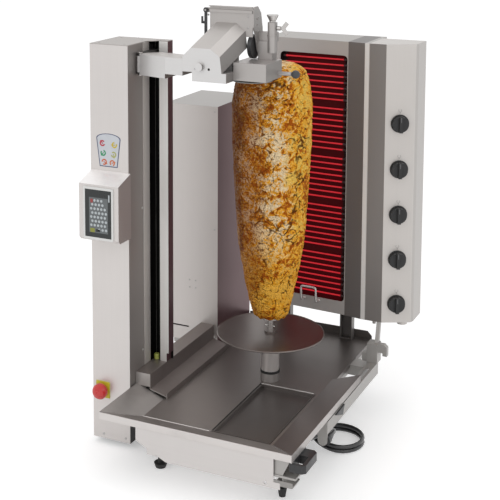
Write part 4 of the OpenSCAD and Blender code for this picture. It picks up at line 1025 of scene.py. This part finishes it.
class GRILL_OT_heater(bpy.types.Operator):
    """Glowing rods across the window, the black tray behind them with a painted red glow, and the
    wire handle
    """

    bl_idname = "grill.heater"
    bl_label = "Heater"

    WINDOW_LOW, WINDOW_HEIGHT, HALF = 0.295, 0.695, 0.0985
    DEPTH, CAP = 0.011, 0.011

    def execute(self, context):
        settings = context.scene.grill_heater
        self.tubes(settings)
        self.tray()
        self.handle()
        return {"FINISHED"}

    def tubes(self, settings):
        glow = self.glow(settings)
        group_height = self.WINDOW_HEIGHT / settings.groups
        pitch = group_height / (settings.runs + 0.6)
        shape = Shape()
        for group in range(settings.groups):
            base = self.WINDOW_LOW + group * group_height
            for i in range(settings.runs):
                height = base + (i + 0.8) * pitch
                reach = self.HALF - (0.003 if i in (0, settings.runs - 1) else 0.0)
                ends = [in_heater(side * reach, self.DEPTH, height) for side in (-1, 1)]
                shape.swept(ends, settings.tube, 12)
                for side in (-1, 1):
                    cap = in_heater(side * (reach - self.CAP), self.DEPTH, height)
                    shape.swept([cap, ends[(side + 1) // 2]], settings.tube + 0.0007, 12)
        made = shape.piece("glowing_tubes", glow, "heater", "glowing_tubes")
        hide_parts("heating_elements")

    def glow(self, settings):
        made, t, shader = new_finish("Glowing tube", Roughness=0.6)
        where = t.place()
        middle = t.steps(self.off_centre(t, where), 0.0890, 0.0845)
        wave = t.noise(where, 60, 2.0)
        heat = t.times(middle, t.steps(wave, 0.2, 0.8, 0.85, 1.1))
        t.drive(
            shader, Base_Color=t.mix(heat, (0.010, 0.006, 0.006), (0.16, 0.008, 0.010)),
            Emission_Color=t.mix(heat, (0.012, 0.004, 0.004), tuple(settings.glow)),
            Emission_Strength=settings.strength,
        )
        return made

    def off_centre(self, t, where):
        """The sideways distance from the middle of the window."""
        return t.math("ABSOLUTE", t.minus(t.axes(where)[0], HEATER_ORIGIN.x))

    def tray(self):
        made, t, shader = new_finish("Heater tray", Roughness=0.8, Specular_IOR_Level=0.15)
        where = t.place()
        cloud = t.noise(where, 40, 4.0)
        tint = t.mix(cloud, (0.006, 0.001, 0.001), (0.014, 0.002, 0.002))
        edge = t.steps(self.off_centre(t, where), 0.082, 0.090)
        # Painted glow: the tray's middle emits a faint red light for the tubes' glow reflected off
        # it.
        t.drive(
            shader, Base_Color=t.mix(edge, tint, (0.012, 0.010, 0.010)),
            Emission_Color=t.mix(edge, (0.030, 0.0008, 0.0016), (0.002, 0.0004, 0.0004)),
            Emission_Strength=1.0,
        )
        give(made, "heater_reflector")

    def handle(self):
        """A bent wire handle with its two feet turned back to the panel."""
        x0, x1, panel, y, z0, z1 = -0.020, 0.025, -0.001, -0.021, 0.287, 0.329
        steel = brushed("Handle steel", (0.62, 0.60, 0.585), (300, 300, 300), 0.2)
        corners = ((x0, panel, z0), (x0, y, z0), (x0, y, z1), (x1, y, z1), (x1, y, z0),
                   (x1, panel, z0))
        shape = Shape()
        shape.swept(rounded([in_heater(*corner) for corner in corners], 0.007), 0.003, 14)
        out = in_heater(0, -1, 0) - in_heater(0, 0, 0)
        for x in (x0, x1):
            shape.turned([(0.0031, 0.0), (0.0055, 0.0), (0.0055, 0.0012), (0.0042, 0.0022),
                          (0.0031, 0.0022)],
                         facing(in_heater(x, -0.0012, z0), out), 18, closed=True)
        made = shape.piece("heater_wire_handle", steel, "heater", "heater_steel")
        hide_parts("heater_handle")


# ---------------------------------------------------------------- controls


class GRILL_OT_controls(bpy.types.Operator):
    """Dial marks, knob pointers, the display's picture and the control sticker"""

    bl_idname = "grill.controls"
    bl_label = "Controls"

    def execute(self, context):
        settings = context.scene.grill_panel
        self.dials(settings)
        self.screen(settings)
        self.sticker(settings)
        return {"FINISHED"}

    def dials(self, settings):
        mark = moulded("Dial ink", tuple(settings.marks), 0.6, 900, 0.02)
        pale = moulded("Pointer ink", (0.16, 0.16, 0.165), 0.5, 900, 0.02)
        thick, raised = 0.00025, 0.0003
        printed = Shape()
        for i in range(1, 6):
            at = facing((0.309, 0.267, middle_of(f"knob_{i}").z), KNOB_NORMAL)
            printed.plate(arc_band(0.0042, 0.0009, 125, 290), shifted(at, v=0.036), thick)
            printed.plate(rectangle(-0.0005, 0.0275, 0.0005, 0.0315), at, thick)
            pointer = Shape()
            pointer.plate(rectangle(-0.0008, 0.0065, 0.0008, 0.02), shifted(at, w=0.0223), raised)
            pointer.plate(arc_band(0.0205, 0.0009, 62, 56), shifted(at, w=0.0143), raised)
            pointer.piece(f"knob_pointer_{i}", pale, f"knob_{i}", "knob_plastic")
        printed.piece("dial_marks", mark, "heater", "control_steel")

    def label(self, name, ink, slot, at, outline):
        shape = Shape()
        shape.plate(outline, at, INK)
        shape.piece(name, ink, "root", slot, smooth=False)

    def screen(self, settings):
        middle, lit = middle_of("display_bezel"), tuple(settings.screen)
        ground, t, shader = new_finish("Screen ground", Roughness=0.25)
        cloud = t.noise(t.place(), 240, 3.0)
        t.drive(shader, Base_Color=t.mix(cloud, tuple(c * 0.8 for c in lit), lit))
        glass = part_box("display_glass")[0].y
        at = facing((middle.x + 0.001, glass, middle.z - 0.004), FRONT)
        above = shifted(at, w=INK)
        self.label("screen_ground", ground, "black_plastic", at,
                   rectangle(-0.027, -0.045, 0.027, 0.045))
        keys = moulded("Screen keys", tuple(settings.keys), 0.3, 700, 0.0)
        bare = ((0, 0), (7, 0), (7, 1), (0, 4), (1, 4))
        shape = Shape()
        for row in range(8):
            for column in range(5):
                if (row, column) not in bare:
                    u = -0.0200 + 0.0098 * column + (0.0024 if row % 2 else -0.0008)
                    here = shifted(above, u, 0.0375 - 0.0106 * row)
                    shape.plate(circle(0.0034, 12), here, INK)
        shape.plate(rectangle(0.0285, 0.037, 0.0322, 0.055), at, INK)
        shape.piece("screen_keys", keys, "root", "black_plastic", smooth=False)
        for name, tone, outline in (
            ("screen_stop_key", (0.32, 0.05, 0.045), rectangle(-0.023, 0.031, -0.016, 0.041)),
            ("screen_start_key", (0.26, 0.27, 0.04), rectangle(-0.024, -0.0445, -0.011, -0.034)),
            ("screen_slot", (0.012, 0.012, 0.013), rectangle(-0.008, -0.0425, 0.004, -0.036)),
        ):
            ink = moulded(name.replace("_", " ").capitalize(), tone, 0.3, 700, 0.0)
            self.label(name, ink, "black_plastic", above, outline)

    def sticker(self, settings):
        at = facing((-0.2965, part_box("column_casing")[0].y, 0.785), FRONT)
        outline = [(-0.026, -0.043), (0.026, -0.043)]
        outline += [(0.0355 * u, 0.030 + 0.013 * v) for u, v in arc(1, 0, 180, 12)]
        inner = [(u * 0.925, v * 0.955 + 0.0003) for u, v in outline]
        border = moulded("Sticker border", (0.055, 0.075, 0.16), 0.5, 900, 0.02)
        ground = moulded("Sticker ground", tuple(settings.sticker), 0.45, 900, 0.02)
        self.label("sticker_border", border, "bezel_plastic", at, outline)
        self.label("sticker_ground", ground, "bezel_plastic", shifted(at, w=INK), inner)
        for i, (tone, u, v) in enumerate((
            ((0.50, 0.02, 0.05), -0.0175, 0.017), ((0.62, 0.47, 0.03), 0.0175, 0.015),
            ((0.01, 0.28, 0.11), -0.0155, -0.008), ((0.42, 0.42, 0.14), 0.0150, -0.010),
            ((0.60, 0.13, 0.05), -0.0125, -0.031), ((0.62, 0.17, 0.06), 0.0110, -0.032),
        )):
            ink = moulded(f"Icon ink {i + 1}", tone, 0.5, 900, 0.02)
            here, start = shifted(at, u, v, 2 * INK), 40 + 50 * i
            hand = here @ Matrix.Rotation(math.radians(start), 4, "Z")
            shape = Shape()
            shape.plate(arc_band(0.0062, 0.0034, start, 300), here, INK)
            shape.plate(rectangle(-0.0011, -0.0020, 0.0011, 0.0095), hand, 0.0003)
            shape.piece(f"sticker_icon_{i + 1}", ink, "root", "bezel_plastic", smooth=False)


# ---------------------------------------------------------------- small fittings


class GRILL_OT_trim(bpy.types.Operator):
    """Screws, the lift's end stop, seams, hems with painted highlights, a painted shadow line by
    the pan, and the skewer motor's ribs
    """

    bl_idname = "grill.trim"
    bl_label = "Small fittings"

    def execute(self, context):
        self.screws()
        self.end_stop()
        self.hems()
        self.motor_details()
        return {"FINISHED"}

    def screw_set(self, name, metal, body, places):
        """Domed heads with a shallow round socket, at (origin, normal, radius) places."""
        shape = Shape()
        for origin, normal, radius in places:
            shape.turned([
                (radius, 0.0), (radius * 0.98, 0.0005), (radius * 0.75, 0.0011),
                (radius * 0.45, 0.0014), (radius * 0.45, 0.0005), (0.0, 0.0004),
            ], facing(origin, normal), 12)
        return shape.piece(name, metal, body, "machined_steel")

    def screws(self):
        metal = brushed("Screw steel", (0.50, 0.49, 0.48), EVEN, 0.3)
        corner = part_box("column_casing")[0]
        left, y, cover = corner.x, corner.y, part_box("power_box_cover")[0].y
        made = self.screw_set("casing_screws", metal, "root", [
            *(((left + x, y, 0.027), FRONT, 0.0034) for x in (0.031, 0.096)),
            *(((left + 0.110, y + 0.070, z), RIGHT, 0.0034) for z in (0.245, 0.625)),
            *(((left + x, cover, z), FRONT, 0.0024) for x in (0.074, 0.093) for z in (0.3, 0.322)),
            *(((left + x, cover, z), FRONT, 0.0028)
              for x in (0.010, 0.153) for z in (0.160, 0.480, 0.820)),
        ])
        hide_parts("screws")
        low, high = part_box("cutter_back_plate")
        near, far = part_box("blade_guard")
        self.screw_set("head_screws", metal, "cutter_head", [
            *(((x, low.y + 0.008, high.z - down), FRONT, 0.0026) for x, down in (
                (low.x + 0.012, 0.024), (high.x - 0.012, 0.024), (high.x - 0.012, 0.052))),
            *(((far.x, near.y + v, near.z + w), RIGHT, 0.0026) for v, w in (
                (0.030, 0.104), (0.026, 0.070), (0.040, 0.040))),
        ])

    def end_stop(self):
        """A ribbed yellow-green stop at the foot of the slot."""
        rubber = moulded("End stop rubber", (0.42, 0.46, 0.10), 0.5, 500, 0.2)
        shape = Shape()
        at = Matrix.Translation((-0.2290, -0.1180, 0.2005))
        shape.turned([(0.0070, 0.0), (0.0078, 0.002), (0.0070, 0.004), (0.0078, 0.006),
                      (0.0070, 0.008), (0.0078, 0.011), (0.0066, 0.014), (0.0, 0.0145)], at, 24)
        shape.piece("slot_end_stop", rubber, "root", "seal_rubber")

    def hems(self):
        """Seams of the deck's corners, the pan's lip, a painted shadow line along the pan's left
        edge, and the floor's hem. The lip and the hem are lighter steel as painted highlights.
        """
        seam = brushed("Seam steel", (0.34, 0.32, 0.31), EVEN, 0.25)
        # Painted highlight: a lighter steel for the pan's lip and the floor's hem.
        lip = brushed("Lip steel", (0.78, 0.74, 0.72), EVEN, 0.25)
        # Painted shadow: a near-black line along the pan's left edge.
        dark = moulded("Pan shadow line", (0.006, 0.006, 0.006), 0.7, 900, 0.0)
        low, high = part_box("juice_pan")
        back, z, floor_y, floor_z = high.y - 0.003, high.z + 0.0004, -0.3265, 0.1426
        for name, metal, body, radius, lines in (
            ("deck_seams", seam, "root", 0.0007, [
                [(x, -0.4055, 0.1702), (inner, -0.327, 0.1424)]
                for x, inner in ((-0.2355, -0.157), (0.2695, 0.191))
            ]),
            ("pan_lip", lip, "juice_pan", 0.0016,
             [[(low.x + 0.004, back, z), (high.x - 0.003, back, z)]]),
            ("floor_hem", lip, "root", 0.0011,
             [[(-0.157, floor_y, floor_z), (low.x - 0.004, floor_y, floor_z)]]),
            ("pan_shadow_line", dark, "juice_pan", 0.0013,
             [[(low.x + 0.002, low.y + 0.003, z), (low.x + 0.002, back, z)]]),
        ):
            shape = Shape()
            for line in lines:
                shape.swept(line, radius, 6)
            shape.piece(name, metal, body, "deck_steel")

    def motor_details(self):
        """Cooling ribs round the skewer's gear motor, under the deck."""
        paint = moulded("Rib paint", (0.045, 0.047, 0.05), 0.5, 600, 0.3)
        middle, low = middle_of("skewer_motor"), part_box("skewer_motor")[0]
        shape = Shape()
        for i in range(9):
            at = Matrix.Translation((middle.x, middle.y, low.z + 0.010 + 0.009 * i))
            shape.turned([(0.0479, 0.0), (0.0505, 0.0003), (0.0505, 0.0030), (0.0479, 0.0033)],
                         at, 40, closed=True)
        shape.piece("motor_ribs", paint, "root", "motor_casting")


# ---------------------------------------------------------------- add-on


class GRILL_PT_panel(bpy.types.Panel):
    """Buttons that build the grill's pieces one by one"""

    bl_idname = "GRILL_PT_panel"
    bl_label = "Skewer grill"
    bl_space_type = "VIEW_3D"
    bl_region_type = "UI"
    bl_category = "Skewer grill"

    def draw(self, context):
        for operator in OPERATORS:
            self.layout.operator(operator.bl_idname)


GROUPS = {
    "grill_stage": StageSettings,
    "grill_steel": SteelSettings,
    "grill_meat": MeatSettings,
    "grill_heater": HeaterSettings,
    "grill_panel": PanelSettings,
    "grill_cord": CordSettings,
}
OPERATORS = (
    GRILL_OT_studio,
    GRILL_OT_cord,
    GRILL_OT_steel,
    GRILL_OT_fittings,
    GRILL_OT_meat,
    GRILL_OT_heater,
    GRILL_OT_controls,
    GRILL_OT_trim,
)


def register():
    for made in (*GROUPS.values(), *OPERATORS, GRILL_PT_panel):
        bpy.utils.register_class(made)
    for name, group in GROUPS.items():
        setattr(bpy.types.Scene, name, PointerProperty(type=group))


def unregister():
    for name in GROUPS:
        delattr(bpy.types.Scene, name)
    for made in (GRILL_PT_panel, *reversed(OPERATORS), *GROUPS.values()):
        bpy.utils.unregister_class(made)


def main():
    register()
    for operator in OPERATORS:
        family, name = operator.bl_idname.split(".")
        getattr(getattr(bpy.ops, family), name)()
    bpy.context.view_layer.update()


if __name__ == "__main__":
    main()
